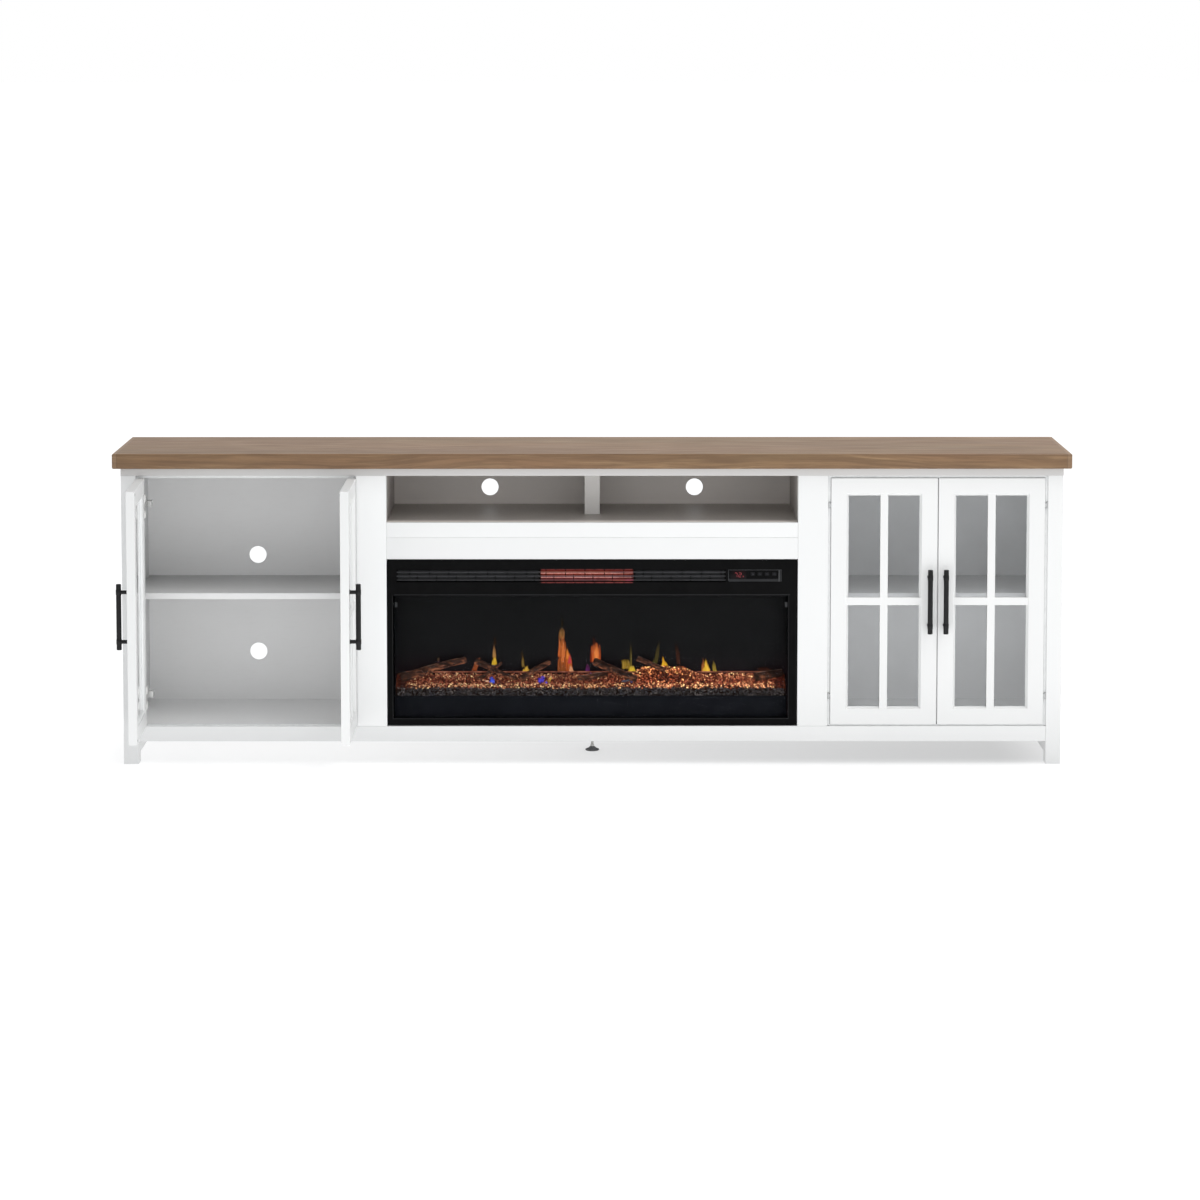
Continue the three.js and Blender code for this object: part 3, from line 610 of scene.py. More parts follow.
_box_cache = {}


def unit_box(size, r, segments):
    """A box centred on the origin with rounded edges, as arrays."""
    keyed = (tuple(round(s, 4) for s in size), round(r, 4), segments)
    if keyed not in _box_cache:
        bm = bmesh.new()
        bmesh.ops.create_cube(bm, size=1.0)
        for v in bm.verts:
            v.co = Vector((v.co.x * size[0], v.co.y * size[1], v.co.z * size[2]))
        if r > 0:
            bmesh.ops.bevel(
                bm,
                geom=list(bm.edges),
                offset=min(r, min(size) * 0.49),
                segments=segments,
                profile=0.5,
                affect="EDGES",
                clamp_overlap=True,
            )
        bm.verts.index_update()
        verts = np.array([v.co for v in bm.verts], float)
        faces = [tuple(v.index for v in f.verts) for f in bm.faces]
        bm.free()
        _box_cache[keyed] = (verts, faces)
    return _box_cache[keyed]


def box(mesh, x0, x1, y0, y1, z0, z1, r=0.6, segments=2):
    verts, faces = unit_box((x1 - x0, y1 - y0, z1 - z0), r, segments)
    return mesh.add(verts + [(x0 + x1) / 2, (y0 + y1) / 2, (z0 + z1) / 2], faces)


def axes_for(direction):
    d = np.array(direction, float)
    d /= np.linalg.norm(d)
    side = np.cross(d, [0, 0, 1] if abs(d[2]) < 0.9 else [1, 0, 0])
    side /= np.linalg.norm(side)
    return side, np.cross(d, side), d


def turned(mesh, profile, origin, direction=(0, 0, 1), sides=48, closed=False):
    """A profile of (radius, height) turned about direction through origin. Zero radius closes it with a point."""
    a, b, d = axes_for(direction)
    o = np.array(origin, float)
    verts, rings, faces = [], [], []
    for r, h in profile:
        if r <= 1e-9:
            rings.append([len(verts)])
            verts.append(o + d * h)
        else:
            rings.append(list(range(len(verts), len(verts) + sides)))
            for k in range(sides):
                w = 2 * math.pi * k / sides
                verts.append(o + d * h + r * (a * math.cos(w) + b * math.sin(w)))
    pairs = list(zip(rings, rings[1:]))
    if closed:
        pairs.append((rings[-1], rings[0]))
    for low, high in pairs:
        for k in range(sides):
            j = (k + 1) % sides
            if len(low) == 1 and len(high) == 1:
                continue
            if len(low) == 1:
                faces.append((low[0], high[j], high[k]))
            elif len(high) == 1:
                faces.append((low[k], low[j], high[0]))
            else:
                faces.append((low[k], low[j], high[j], high[k]))
    return mesh.add(verts, faces)


def swept(mesh, path, radius, sides=12, cap=True):
    """A round tube along points, with its ends closed."""
    path = np.asarray(path, float)
    n = len(path)
    radius = np.broadcast_to(radius, n)
    tangents = np.gradient(path, axis=0)
    tangents /= np.linalg.norm(tangents, axis=1)[:, None]
    side, up, _ = axes_for(tangents[0])
    verts, faces = [], []
    for i in range(n):
        d = tangents[i]
        side = side - d * side.dot(d)
        side /= np.linalg.norm(side)
        up = np.cross(d, side)
        for k in range(sides):
            w = 2 * math.pi * k / sides
            verts.append(path[i] + radius[i] * (side * math.cos(w) + up * math.sin(w)))
    for i in range(n - 1):
        for k in range(sides):
            j = (k + 1) % sides
            faces.append((i * sides + k, i * sides + j, (i + 1) * sides + j, (i + 1) * sides + k))
    if cap:
        verts.append(path[0])
        verts.append(path[-1])
        a, b = n * sides, n * sides + 1
        for k in range(sides):
            j = (k + 1) % sides
            faces.append((a, j, k))
            faces.append((b, (n - 1) * sides + k, (n - 1) * sides + j))
    return mesh.add(verts, faces)


def shade(me, angle):
    """Smooth shading that breaks at edges sharper than angle."""
    me.polygons.foreach_set("use_smooth", [True] * len(me.polygons))
    me.set_sharp_from_angle(angle=math.radians(angle))
    me.update()


def place(name, mesh, body, material, slot=None, replaces=(), smooth=32, weighted=False, attributes=None):
    """Makes a piece of the object out of a Mesh and puts it on its body."""
    me = bpy.data.meshes.new(name)
    me.from_pydata((mesh.points() * MM).tolist(), [], mesh.f)
    me.update()
    ob = bpy.data.objects.new(name, me)
    scene.collection.objects.link(ob)
    me.materials.append(material)
    for key, (kind, values) in (attributes or {}).items():
        layer = me.attributes.new(key, kind, "POINT")
        flat = np.asarray(values, np.float32)
        layer.data.foreach_set("color" if kind == "FLOAT_COLOR" else "value", flat.ravel())
    if smooth is not None:
        shade(me, smooth)
    if weighted:
        w = ob.modifiers.new("even", "WEIGHTED_NORMAL")
        w.keep_sharp = True
    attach(ob, body)
    if replaces:
        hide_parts(*replaces)
    return ob


# ------------------------------------------------------------------ CAD nodes that stay: eased edges and their finishes
clean = bpy.data.node_groups.new("plain_normals", "GeometryNodeTree")
clean.interface.new_socket("Geometry", in_out="INPUT", socket_type="NodeSocketGeometry")
clean.interface.new_socket("Geometry", in_out="OUTPUT", socket_type="NodeSocketGeometry")
g_in = clean.nodes.new("NodeGroupInput")
g_drop = clean.nodes.new("GeometryNodeRemoveAttribute")
g_drop.inputs["Name"].default_value = "custom_normal"
g_smooth = clean.nodes.new("GeometryNodeSetShadeSmooth")
g_out = clean.nodes.new("NodeGroupOutput")
clean.links.new(g_in.outputs[0], g_drop.inputs[0])
clean.links.new(g_drop.outputs[0], g_smooth.inputs[0])
clean.links.new(g_smooth.outputs[0], g_out.inputs[0])


def dress(node, material, width=1.0, segments=2, angle=28, planar=True, clamp=True):
    """Welds a CAD node's corners, eases its edges by width and gives it its finish."""
    o = NODES[node]
    weld = o.modifiers.new("weld", "WELD")
    weld.merge_threshold = 0.00002
    tidy = o.modifiers.new("plain_normals", "NODES")
    tidy.node_group = clean
    if planar:
        flat = o.modifiers.new("flat", "DECIMATE")
        flat.decimate_type = "DISSOLVE"
        flat.angle_limit = math.radians(0.5)
    if width > 0:
        ease = o.modifiers.new("ease", "BEVEL")
        ease.width = width * MM
        ease.segments = segments
        ease.limit_method = "ANGLE"
        ease.angle_limit = math.radians(angle)
        ease.use_clamp_overlap = clamp
        ease.miter_outer = "MITER_SHARP"
    even = o.modifiers.new("even", "WEIGHTED_NORMAL")
    even.keep_sharp = False
    o.material_slots[0].material = material
    return o


def glaze(node, material):
    """Gives a thin sheet or a pane its finish. It stays flat-sided, with its own corners."""
    NODES[node].material_slots[0].material = material


dress("top_slab", WOOD, 1.1, 3)
for side in ("left", "right"):
    dress(f"{side}_end_panel", WHITE, 1.0)
    dress(f"{side}_leg_stile", WHITE, 1.2)
    # the left centre stile gets the lighter paint: painted light against the shade of the open door
    dress(f"{side}_centre_stile", STILE_WHITE_PAINTED_LIGHT if side == "left" else WHITE, 1.2)
    dress(f"{side}_partition", BAY_BOARD_PAINTED_SHADE, 0.6)
    dress(f"{side}_shelf", SHELF_BOARD_PAINTED_SHADE, 1.2)
dress("sub_top", SHADE_WHITE, 1.0)
dress("bottom_deck", INNER, 0.6)
dress("bottom_rail", WHITE, 1.2)
dress("media_shelf", BAY_PAINT_PAINTED_SHADE, 1.2)
dress("lintel_rail", WHITE, 1.2)
dress("media_divider", DIVIDER_PAINT_PAINTED_SHADE, 0.8)
glaze("back_panel", BAY_BOARD_PAINTED_SHADE)

DOORS = {
    "left_outer": {"edge": -1178.5, "dir": 1, "open": 88},
    "left_inner": {"edge": -610.5, "dir": -1, "open": 90},
    "right_inner": {"edge": 610.5, "dir": 1, "open": 0},
    "right_outer": {"edge": 1178.5, "dir": -1, "open": 0},
}
HINGE_Z = (("top", 678.0), ("bottom", 179.0))
for door in DOORS:
    dress(f"{door}_door_frame", DOOR_WHITE, 0.8, 3, planar=False, clamp=False)
    glaze(f"{door}_door_glass", DOOR_GLASS)
    for where, _ in HINGE_Z:
        dress(f"{door}_{where}_hinge_cup", HINGE_METAL, 0.35, 2, 40)
        dress(f"{door}_{where}_hinge_arm", HINGE_METAL, 0.35, 2, 40)

dress("front_bezel", INSERT_STEEL, 0.7)
glaze("front_glass", INSERT_GLASS)
dress("firebox_housing", INNER_STEEL, 0.4)
dress("flame_rotor", ALLOY, 0.15, 1, 40)
dress("blower_wheel", ALLOY, 0.15, 1, 40)
for i in range(1, 5):
    dress(f"control_key_{i}", KEY_BLACK, 0.5, 3)


# ------------------------------------------------------------------ doors: what rides on each of them
def on_door(door, verts, faces):
    """Door coordinates (u from the stile edge, t behind the front plane, z) to the frame, as the door rests."""
    d = DOORS[door]
    a = math.radians(-d["dir"] * d["open"])
    v = np.asarray(verts, float)
    x, y = (v[:, 0] - 2.5) * d["dir"], v[:, 1] - 2.5
    out = np.stack(
        [
            d["edge"] + d["dir"] * 2.5 + x * math.cos(a) - y * math.sin(a),
            FRONT_Y + 2.5 + x * math.sin(a) + y * math.cos(a),
            v[:, 2],
        ],
        axis=1,
    )
    if d["dir"] < 0:
        faces = [tuple(reversed(f)) for f in faces]
    return out, faces


def door_piece(name, door, mesh, material, slot, replaces=(), **kw):
    moved = Mesh()
    verts, faces = on_door(door, mesh.points(), mesh.f)
    moved.add(verts, faces)
    return place(name, moved, f"{door}_door", material, slot, replaces, **kw)


def screw_template(r=3.3, h=1.3, sides=32, rings=9):
    """A countersunk-look pan head with a cross recess, its face up +Z, its seat at z 0."""
    verts, faces = [(0, 0, 0)], []
    first = []
    for i in range(1, rings + 1):
        s = i / rings
        first.append(len(verts))
        for k in range(sides):
            w = 2 * math.pi * k / sides
            x, y = s * r * math.cos(w), s * r * math.sin(w)
            z = h * math.sqrt(max(0.0, 1 - (s * 0.96) ** 2)) ** 0.7
            verts.append((x, y, z))
    verts[0] = (0, 0, h)
    slot_w, slot_l, sunk = r * 0.17, r * 0.56, h * 0.75
    out = []
    for x, y, z in verts:
        arm = max(
            min(1.0, max(0.0, (slot_w * 1.5 - abs(x)) / (slot_w * 0.7))) * (abs(y) < slot_l),
            min(1.0, max(0.0, (slot_w * 1.5 - abs(y)) / (slot_w * 0.7))) * (abs(x) < slot_l),
        )
        out.append((x, y, z - sunk * arm))
    for k in range(sides):
        faces.append((0, first[0] + k, first[0] + (k + 1) % sides))
    for a, b in zip(first, first[1:]):
        for k in range(sides):
            j = (k + 1) % sides
            faces.append((a + k, b + k, b + j, a + j))
    base = len(out)
    for k in range(sides):
        w = 2 * math.pi * k / sides
        out.append((r * math.cos(w), r * math.sin(w), -0.1))
    for k in range(sides):
        j = (k + 1) % sides
        faces.append((first[-1] + k, base + k, base + j, first[-1] + j))
    out.append((0, 0, -0.1))
    for k in range(sides):
        faces.append((len(out) - 1, base + (k + 1) % sides, base + k))
    return np.array(out, float), faces


def screw(mesh, where, facing, r=3.3, h=1.3, turn=0.0):
    verts, faces = screw_template(r, h)
    a, b, d = axes_for(facing)
    c, s = math.cos(turn), math.sin(turn)
    x = verts[:, 0] * c - verts[:, 1] * s
    y = verts[:, 0] * s + verts[:, 1] * c
    spun = np.outer(x, a) + np.outer(y, b) + np.outer(verts[:, 2], d) + np.array(where, float)
    return mesh.add(spun, faces)


DOOR_GAP, DOOR_WIDTH, DOOR_BOTTOM, DOOR_TOP = 7.5, 275.0, 104.5, 748.5


def handle_mesh():
    """A round bar with softened ends on two turned posts, each with a collar and a small foot on the door."""
    m = Mesh()
    u, t, z0 = DOOR_GAP + DOOR_WIDTH - 19.0, -22.0, 428.5
    half, r = 83.75, 6.5
    bar = [(0, -half)]
    for k in range(7):
        w = math.pi / 2 * k / 6
        bar.append((r - 1.6 + 1.6 * math.sin(w), -half + 1.6 * (1 - math.cos(w))))
    for k in range(7):
        w = math.pi / 2 * k / 6
        bar.append((r - 1.6 + 1.6 * math.cos(w), half - 1.6 * (1 - math.sin(w))))
    bar.append((0, half))
    turned(m, bar, (u, t, z0), (0, 0, 1), 48)
    for s in (-63.0, 63.0):
        c = r + 0.62
        ring = [(r - 0.3, -6.4), (c - 0.3, -6.4), (c, -6.0), (c, 6.0), (c - 0.3, 6.4), (r - 0.3, 6.4)]
        turned(m, ring, (u, t, z0 + s), (0, 0, 1), 48, closed=True)
        post = [(0, 0), (4.6, 0), (4.9, 7.0), (4.9, 18.2), (5.2, 19.6), (6.0, 20.6), (6.3, 21.1), (6.3, 22.0), (0, 22.0)]
        turned(m, post, (u, t, z0 + s), (0, 1, 0), 40)
    return m


def bead_mesh():
    """The quarter-round glazing bead behind the pane, mitred at its corners."""
    m = Mesh()
    u0, u1 = DOOR_GAP + 40.3, DOOR_GAP + DOOR_WIDTH - 40.3
    z0, z1 = DOOR_BOTTOM + 40.3, DOOR_TOP - 40.3
    section = [(0.0, 14.4), (6.0, 14.4), (6.0, 15.2)]
    for k in range(7):
        w = math.pi / 2 * k / 6
        section.append((6.0 - 5.0 * (1 - math.cos(w)) - 0.0, 15.2 + 5.0 * math.sin(w)))
    section += [(0.0, 20.2)]
    corners = []
    for inset, t in section:
        corners.append(
            [
                (u0 + inset, t, z0 + inset),
                (u1 - inset, t, z0 + inset),
                (u1 - inset, t, z1 - inset),
                (u0 + inset, t, z1 - inset),
            ]
        )
    n = len(section)
    verts = [corners[i][k] for k in range(4) for i in range(n)]
    faces = []
    for k in range(4):
        k2 = (k + 1) % 4
        for i in range(n):
            j = (i + 1) % n
            faces.append((k * n + i, k2 * n + i, k2 * n + j, k * n + j))
    return m.add(verts, [tuple(reversed(f)) for f in faces])


for door in DOORS:
    door_piece(f"{door}_handle_bar", door, handle_mesh(), HANDLE_BLACK, "handle_black",
               (f"{door}_door_handle",), smooth=38)
    door_piece(f"{door}_glazing_bead", door, bead_mesh(), BEAD, "door_paint", smooth=40)
    heads = Mesh()
    for _, z in HINGE_Z:
        for s in (-24.0, 24.0):
            screw(heads, (24.0, 26.7, z + s * 22.0 / 24.0), (0, 1, 0), 3.2, 1.1, 0.4 + s)
    door_piece(f"{door}_hinge_screws", door, heads, SCREW, "hinge_nickel", smooth=35)
    pads = Mesh()
    dome = [(0, 0)] + [(4.0 * math.cos(w), 1.5 * math.sin(w)) for w in np.linspace(0, math.pi / 2 * 0.93, 7)] + [(0, 1.5)]
    for z in (DOOR_BOTTOM + 9.0, DOOR_TOP - 9.0):
        turned(pads, dome, (DOOR_GAP + DOOR_WIDTH - 9.0, 22.0, z), (0, 1, 0), 32)
    door_piece(f"{door}_bumpers", door, pads, BUMPER, None, smooth=60)

    ears = Mesh()
    for _, z in HINGE_Z:
        for s in (-1, 1):
            # a screw boss at each end of the cup's flange, with a raised rim
            box(ears, 13.0, 35.0, 23.7, 25.9, z + s * 20.5 - 9.5, z + s * 20.5 + 9.5, 0.9, 3)
            turned(ears, [(0, 0), (5.4, 0), (5.4, 0.7), (4.6, 1.2), (0, 1.2)], (24.0, 25.6, z + s * 22.0), (0, 1, 0), 28)
    door_piece(f"{door}_hinge_bosses", door, ears, BRIGHT_NICKEL, "hinge_nickel", smooth=35)
    if door == "right_inner":  # the meeting strip, which covers most of the gap between the two closed doors
        strip = Mesh()
        box(strip, DOOR_GAP + DOOR_WIDTH - 0.2, DOOR_GAP + DOOR_WIDTH + 2.05, 4.5, 15.0, DOOR_BOTTOM + 1.5, DOOR_TOP - 1.5, 0.35)
        door_piece("right_meeting_strip", door, strip, SEAL, "door_paint", smooth=35)

# soft seals round the two openings: beside a door each stops above and below the hinges, whose leaves sweep
# through the gap, and only a narrow lip beside the knuckles comes nearer to a leaf
seals = Mesh()
hinge_levels = sorted(z for _, z in HINGE_Z)
seal_ends = [101.0] + [z + s * 8.5 for z in hinge_levels for s in (-1, 1)] + [754.0]
for door, d in DOORS.items():
    runs = [(-0.3, 6.8, 4.6, 21.0, z0, z1, 0.8) for z0, z1 in zip(seal_ends[::2], seal_ends[1::2])]
    runs += [(5.0, 6.6, 4.9, 20.7, min(z + s * 5.5, z + s * 9.6), max(z + s * 5.5, z + s * 9.6), 0.3)
             for z in hinge_levels for s in (-1, 1)]
    for u0, u1, t0, t1, z0, z1, ease in runs:
        x0, x1 = sorted((d["edge"] + d["dir"] * u0, d["edge"] + d["dir"] * u1))
        box(seals, x0, x1, at(t0), at(t1), z0, z1, ease)
for s in (-1, 1):
    x0, x1 = sorted((s * 616.5, s * 1172.5))
    box(seals, x0, x1, at(4.6), at(15.0), 749.2, 755.2, 0.6)
    box(seals, x0, x1, at(4.6), at(15.0), 99.8, 103.8, 0.6)
place("door_seals", seals, "cabinet", SEAL, "white_paint", smooth=35)

# arm screws stay with the cabinet
arm_screws = Mesh()
for door, d in DOORS.items():
    for _, z in HINGE_Z:
        for s in (-15.0, 15.0):
            x = d["edge"] + d["dir"] * 9.5
            screw(arm_screws, (x, at(33.75), z + s), (d["dir"], 0, 0), 3.0, 1.1, 0.7 + s)
        screw(arm_screws, (d["edge"] + d["dir"] * 24.0, at(58.0), z), (0, 1, 0), 3.0, 0.9, 0.2)
place("hinge_arm_screws", arm_screws, "cabinet", SCREW, "hinge_nickel", smooth=35)

# ------------------------------------------------------------------ shelf pins and the screws of the back
pins = Mesh()
for s in (-1, 1):
    for wall, facing in ((1195.5, -1), (550.5, 1)):
        for t in (92.0, 352.0):
            x = s * wall
            d = s * facing
            prof = [(0, 0), (5.5, 0), (5.9, 0.4), (5.9, 1.4), (5.4, 1.9), (3.0, 2.1), (3.0, 8.2), (2.4, 8.8), (0, 8.8)]
            turned(pins, prof, (x, at(t), 416.8), (d, 0, 0), 32)
place("shelf_pins", pins, "cabinet", NICKEL, "hinge_nickel", smooth=40)

rng = random.Random(11)
back_screws = Mesh()
BACK_Y = at(388.0)
spots = []
for x in np.linspace(-1186, 1186, 17):
    spots += [(x, 747.0), (x, 92.0)]
for z in (200.0, 310.0, 431.0, 540.0, 650.0):
    for x in (-1206.0 + 19.5, -541.5, 541.5, 1206.0 - 19.5):
        spots.append((x, z))
for x in (-1050.0, -870.0 - 90, -700.0, 700.0, 960.0, 1050.0):
    spots.append((x, 431.0))
for x in (-420.0, -140.0, 140.0, 420.0):
    spots.append((x, 624.0))
for x, z in spots:
    screw(back_screws, (x, BACK_Y, z), (0, 1, 0), 3.4, 0.9, rng.uniform(0, 3))
place("back_panel_screws", back_screws, "cabinet", SCREW, "hinge_nickel", smooth=35)


# ------------------------------------------------------------------ levelling foot
pad = Mesh()
turned(
    pad,
    [(0, 0), (16.6, 0), (17.8, 0.4), (18.2, 1.1), (18.2, 2.6), (17.6, 3.3), (12.6, 4.3), (11.4, 4.9), (10.9, 6.2), (9.6, 8.0), (7.4, 9.2), (6.2, 9.8), (6.0, 11.2), (0, 11.2)],
    (0, 0, 0),
    (0, 0, 1),
    64,
)
for k in range(20):  # ribs that stiffen the skirt of the pad
    w = 2 * math.pi * k / 20
    a, b = np.array((math.cos(w), math.sin(w), 0)), 3.0
    swept(pad, [a * 11.0 + (0, 0, 5.0), a * 14.2 + (0, 0, 4.2), a * 17.4 + (0, 0, 3.4)], (0.55, 0.5, 0.3), 8)
place("levelling_glide", pad, "levelling_foot", FOOT_PLASTIC, "foot", ("levelling_foot",), smooth=35)
stem = Mesh()
turned(stem, [(0, 11.0), (5.6, 11.0), (5.6, 15.4), (5.1, 16.0), (0, 16.0)], (0, 0, 0), (0, 0, 1), 6)
turned(stem, [(0, 15.5), (3.2, 15.5), (3.2, 62.2), (2.7, 63), (0, 63)], (0, 0, 0), (0, 0, 1), 24)
helix = [
    (3.3 * math.cos(w), 3.3 * math.sin(w), 17.0 + 1.25 * w / (2 * math.pi))
    for w in np.linspace(0, 2 * math.pi * 35, 35 * 20)
]
swept(stem, helix, 0.42, 6)
place("levelling_stem", stem, "levelling_foot", SCREW, "foot", smooth=35)

# ------------------------------------------------------------------ fireplace insert: grille, heater, controls
WINDOW = (-516.0, 508.0, 121.0, 441.0)
LOUVRE = (-507.0, 346.0, 477.0, 510.0)


def grille():
    m = Mesh()
    x0, x1, z0, z1 = LOUVRE
    # flange behind the bezel, four strips round the opening
    y0, y1 = at(12.4), at(14.1)
    box(m, x0 - 3.4, x1 + 1.4, y0, y1, z1 - 2.2, z1 + 3.3, 0.2)
    box(m, x0 - 3.4, x1 + 1.4, y0, y1, z0 - 3.3, z0 + 2.2, 0.2)
    box(m, x0 - 3.4, x0 + 3.0, y0, y1, z0, z1, 0.2)
    box(m, x1 - 3.0, x1 + 1.4, y0, y1, z0, z1, 0.2)
    return m


def louvres():
    m = Mesh()
    x0, x1, _, _ = LOUVRE
    for z in (482.2, 492.8, 503.4):
        # each blade leans: a rounded nose in front, its tail lower behind
        section = []
        for k in range(9):
            w = math.pi * (0.5 + k / 8)
            section.append((7.9 + 0.95 * math.cos(w), z + 0.95 * math.sin(w)))
        section += [(12.6, z - 3.2), (12.6, z - 2.4), (9.0, z + 0.95)]
        n = len(section)
        verts = [(x, at(t), zz) for x in (x0 + 0.6, x1 - 0.6) for t, zz in section]
        faces = [(i, (i + 1) % n, n + (i + 1) % n, n + i) for i in range(n)]
        faces += [tuple(range(n))[::-1], tuple(range(n, 2 * n))]
        m.add(verts, [tuple(reversed(f)) for f in faces])
    return m


def uprights():
    """Fine uprights in two rows, the upper row half a step aside from the lower."""
    m = Mesh()
    x0, x1, z0, z1 = LOUVRE
    for k in range(-10, 8):
        low, high = 2.0 + 50.6 * k, -18.8 + 50.4 * k
        if x0 + 4 < low < x1 - 4:
            box(m, low - 1.0, low + 1.0, at(8.6), at(13.8), z0 + 0.2, 496.5, 0.15, 1)
        if x0 + 4 < high < x1 - 4:
            box(m, high - 1.0, high + 1.0, at(9.6), at(13.8), 489.5, z1 - 0.4, 0.15, 1)
    return m


def dust_mesh():
    """Fine mesh behind the bars, left open before the heater."""
    m = Mesh()
    x0, x1, z0, z1 = LOUVRE
    for a, b in ((x0 - 1.0, -139.0), (112.5, x1 + 0.5)):
        box(m, a, b, at(14.0), at(14.5), z0 - 2.0, z1 + 2.0, 0.1, 1)
    return m


HEAT_X = (-134.5, 107.5)


def heat_fade(m, value, span=4.0):
    """Even over the length of the heater, falling to nothing within span at each end."""
    x = m.node("ShaderNodeSeparateXYZ", {0: m.xyz}).outputs[0]
    mid, half = (HEAT_X[0] + HEAT_X[1]) / 2 * MM, (HEAT_X[1] - HEAT_X[0]) / 2 * MM
    off = m.math("ABSOLUTE", m.math("SUBTRACT", x, mid))
    return m.math("MULTIPLY", value, m.band(off, half - span * MM, half, 0.84, 0.0)), x


def louvre_bar():
    """Grey bars, each red in its own way over the length where the heater shines on them from behind."""
    m = Tree("grey_louvre_bar")
    spots = m.noise(m.xyz, 12.0, 3.0, 0.6)
    streak = m.noise(m.scaled(1, 1, 5), 70.0, 3.0, 0.6)
    z = m.node("ShaderNodeSeparateXYZ", {0: m.xyz}).outputs[2]
    strength, x = heat_fade(m, m.band(streak, 0.25, 0.75, 0.26, 0.50), 2.5)
    high, low = m.band(z, 0.496, 0.499), m.band(z, 0.489, 0.486)
    right = m.band(x, 0.030, 0.070)
    far = m.band(x, 0.080, 0.088)
    top = m.mix(right, (0.46, 0.105, 0.055), (0.22, 0.030, 0.040))
    top = m.mix(far, top, (0.44, 0.085, 0.075))
    middle = m.mix(right, (0.20, 0.060, 0.068), (0.115, 0.034, 0.050))
    bottom = m.mix(right, (0.21, 0.034, 0.036), (0.60, 0.090, 0.050))
    bottom = m.mix(far, bottom, (0.60, 0.075, 0.130))
    heat = m.mix(low, m.mix(high, middle, top), bottom)
    p = m.principled(
        Base_Color=m.mix(m.band(spots, 0.3, 0.7), (0.036, 0.037, 0.040), (0.050, 0.051, 0.055)),
        Roughness=m.band(streak, 0.3, 0.7, 0.34, 0.44),
        Normal=m.bump(m.noise(m.xyz, 1200.0, 2.0), 0.12, 0.0002),
        Emission_Color=heat,
        Emission_Strength=strength,
    )
    p.inputs["Specular IOR Level"].default_value = 0.3
    m.material.cycles.emission_sampling = "NONE"
    return m.material


place("grille_dust_mesh", dust_mesh(), "cabinet", DUST_MESH, "insert_steel", smooth=30)
place("grille_flange", grille(), "cabinet", INSERT_STEEL, "insert_steel", ("heater_grille",), smooth=30)
place("grille_louvres", louvres(), "cabinet", louvre_bar(), "insert_steel", smooth=30)
place("grille_uprights", uprights(), "cabinet", INSERT_STEEL, "insert_steel", smooth=30)


def glow_tube():
    """Quartz tubes, red with the heat inside. The right third runs cooler."""
    m = Tree("glowing_quartz")
    flicker = m.noise(m.xyz, 55.0, 3.0, 0.6)
    z = m.node("ShaderNodeSeparateXYZ", {0: m.xyz}).outputs[2]
    top = m.band(z, 0.488, 0.492)
    low = m.band(z, 0.480, 0.476)
    colour = m.mix(top, (0.30, 0.095, 0.105), (0.58, 0.125, 0.055))
    colour = m.mix(low, colour, (0.42, 0.050, 0.045))
    strength, x = heat_fade(m, m.band(flicker, 0.25, 0.75, 0.22, 0.38))
    cool = m.band(x, 0.035, 0.075, 1.0, 0.62)
    p = m.principled(
        Base_Color=m.mix(flicker, (0.10, 0.03, 0.03), (0.16, 0.05, 0.045)),
        Roughness=m.band(flicker, 0.3, 0.7, 0.18, 0.32),
        Emission_Color=colour,
        Emission_Strength=m.math("MULTIPLY", strength, cool),
    )
    p.inputs["Specular IOR Level"].default_value = 0.2
    return m.material


def glow_coil():
    m = Tree("glowing_coil")
    hot = m.noise(m.xyz, 160.0, 2.0, 0.6)
    strength, x = heat_fade(m, m.band(hot, 0.2, 0.8, 0.60, 0.90), 2.0)
    cool = m.band(x, 0.045, 0.080, 1.0, 0.55)
    m.principled(
        Base_Color=m.mix(hot, (0.3, 0.12, 0.1), (0.4, 0.16, 0.12)),
        Roughness=m.band(hot, 0.3, 0.7, 0.4, 0.6),
        Emission_Color=m.mix(m.band(hot, 0.3, 0.7), (0.95, 0.34, 0.30), (1.0, 0.56, 0.50)),
        Emission_Strength=m.math("MULTIPLY", strength, cool),
    )
    return m.material


def reflector():
    """Polished trough behind the tubes, red with their light."""
    m = Tree("heater_reflector")
    streak = m.noise(m.scaled(1, 1, 6), 40.0, 3.0, 0.6)
    strength, x = heat_fade(m, m.band(streak, 0.2, 0.8, 0.22, 0.42))
    p = m.principled(
        Base_Color=m.mix(streak, (0.16, 0.03, 0.03), (0.24, 0.06, 0.05)),
        Roughness=m.band(streak, 0.3, 0.7, 0.25, 0.45),
        Metallic=0.5,
        Emission_Color=m.mix(m.band(streak, 0.3, 0.7), (0.24, 0.030, 0.026), (0.34, 0.055, 0.045)),
        Emission_Strength=strength,
    )
    p.inputs["Specular IOR Level"].default_value = 0.2
    return m.material


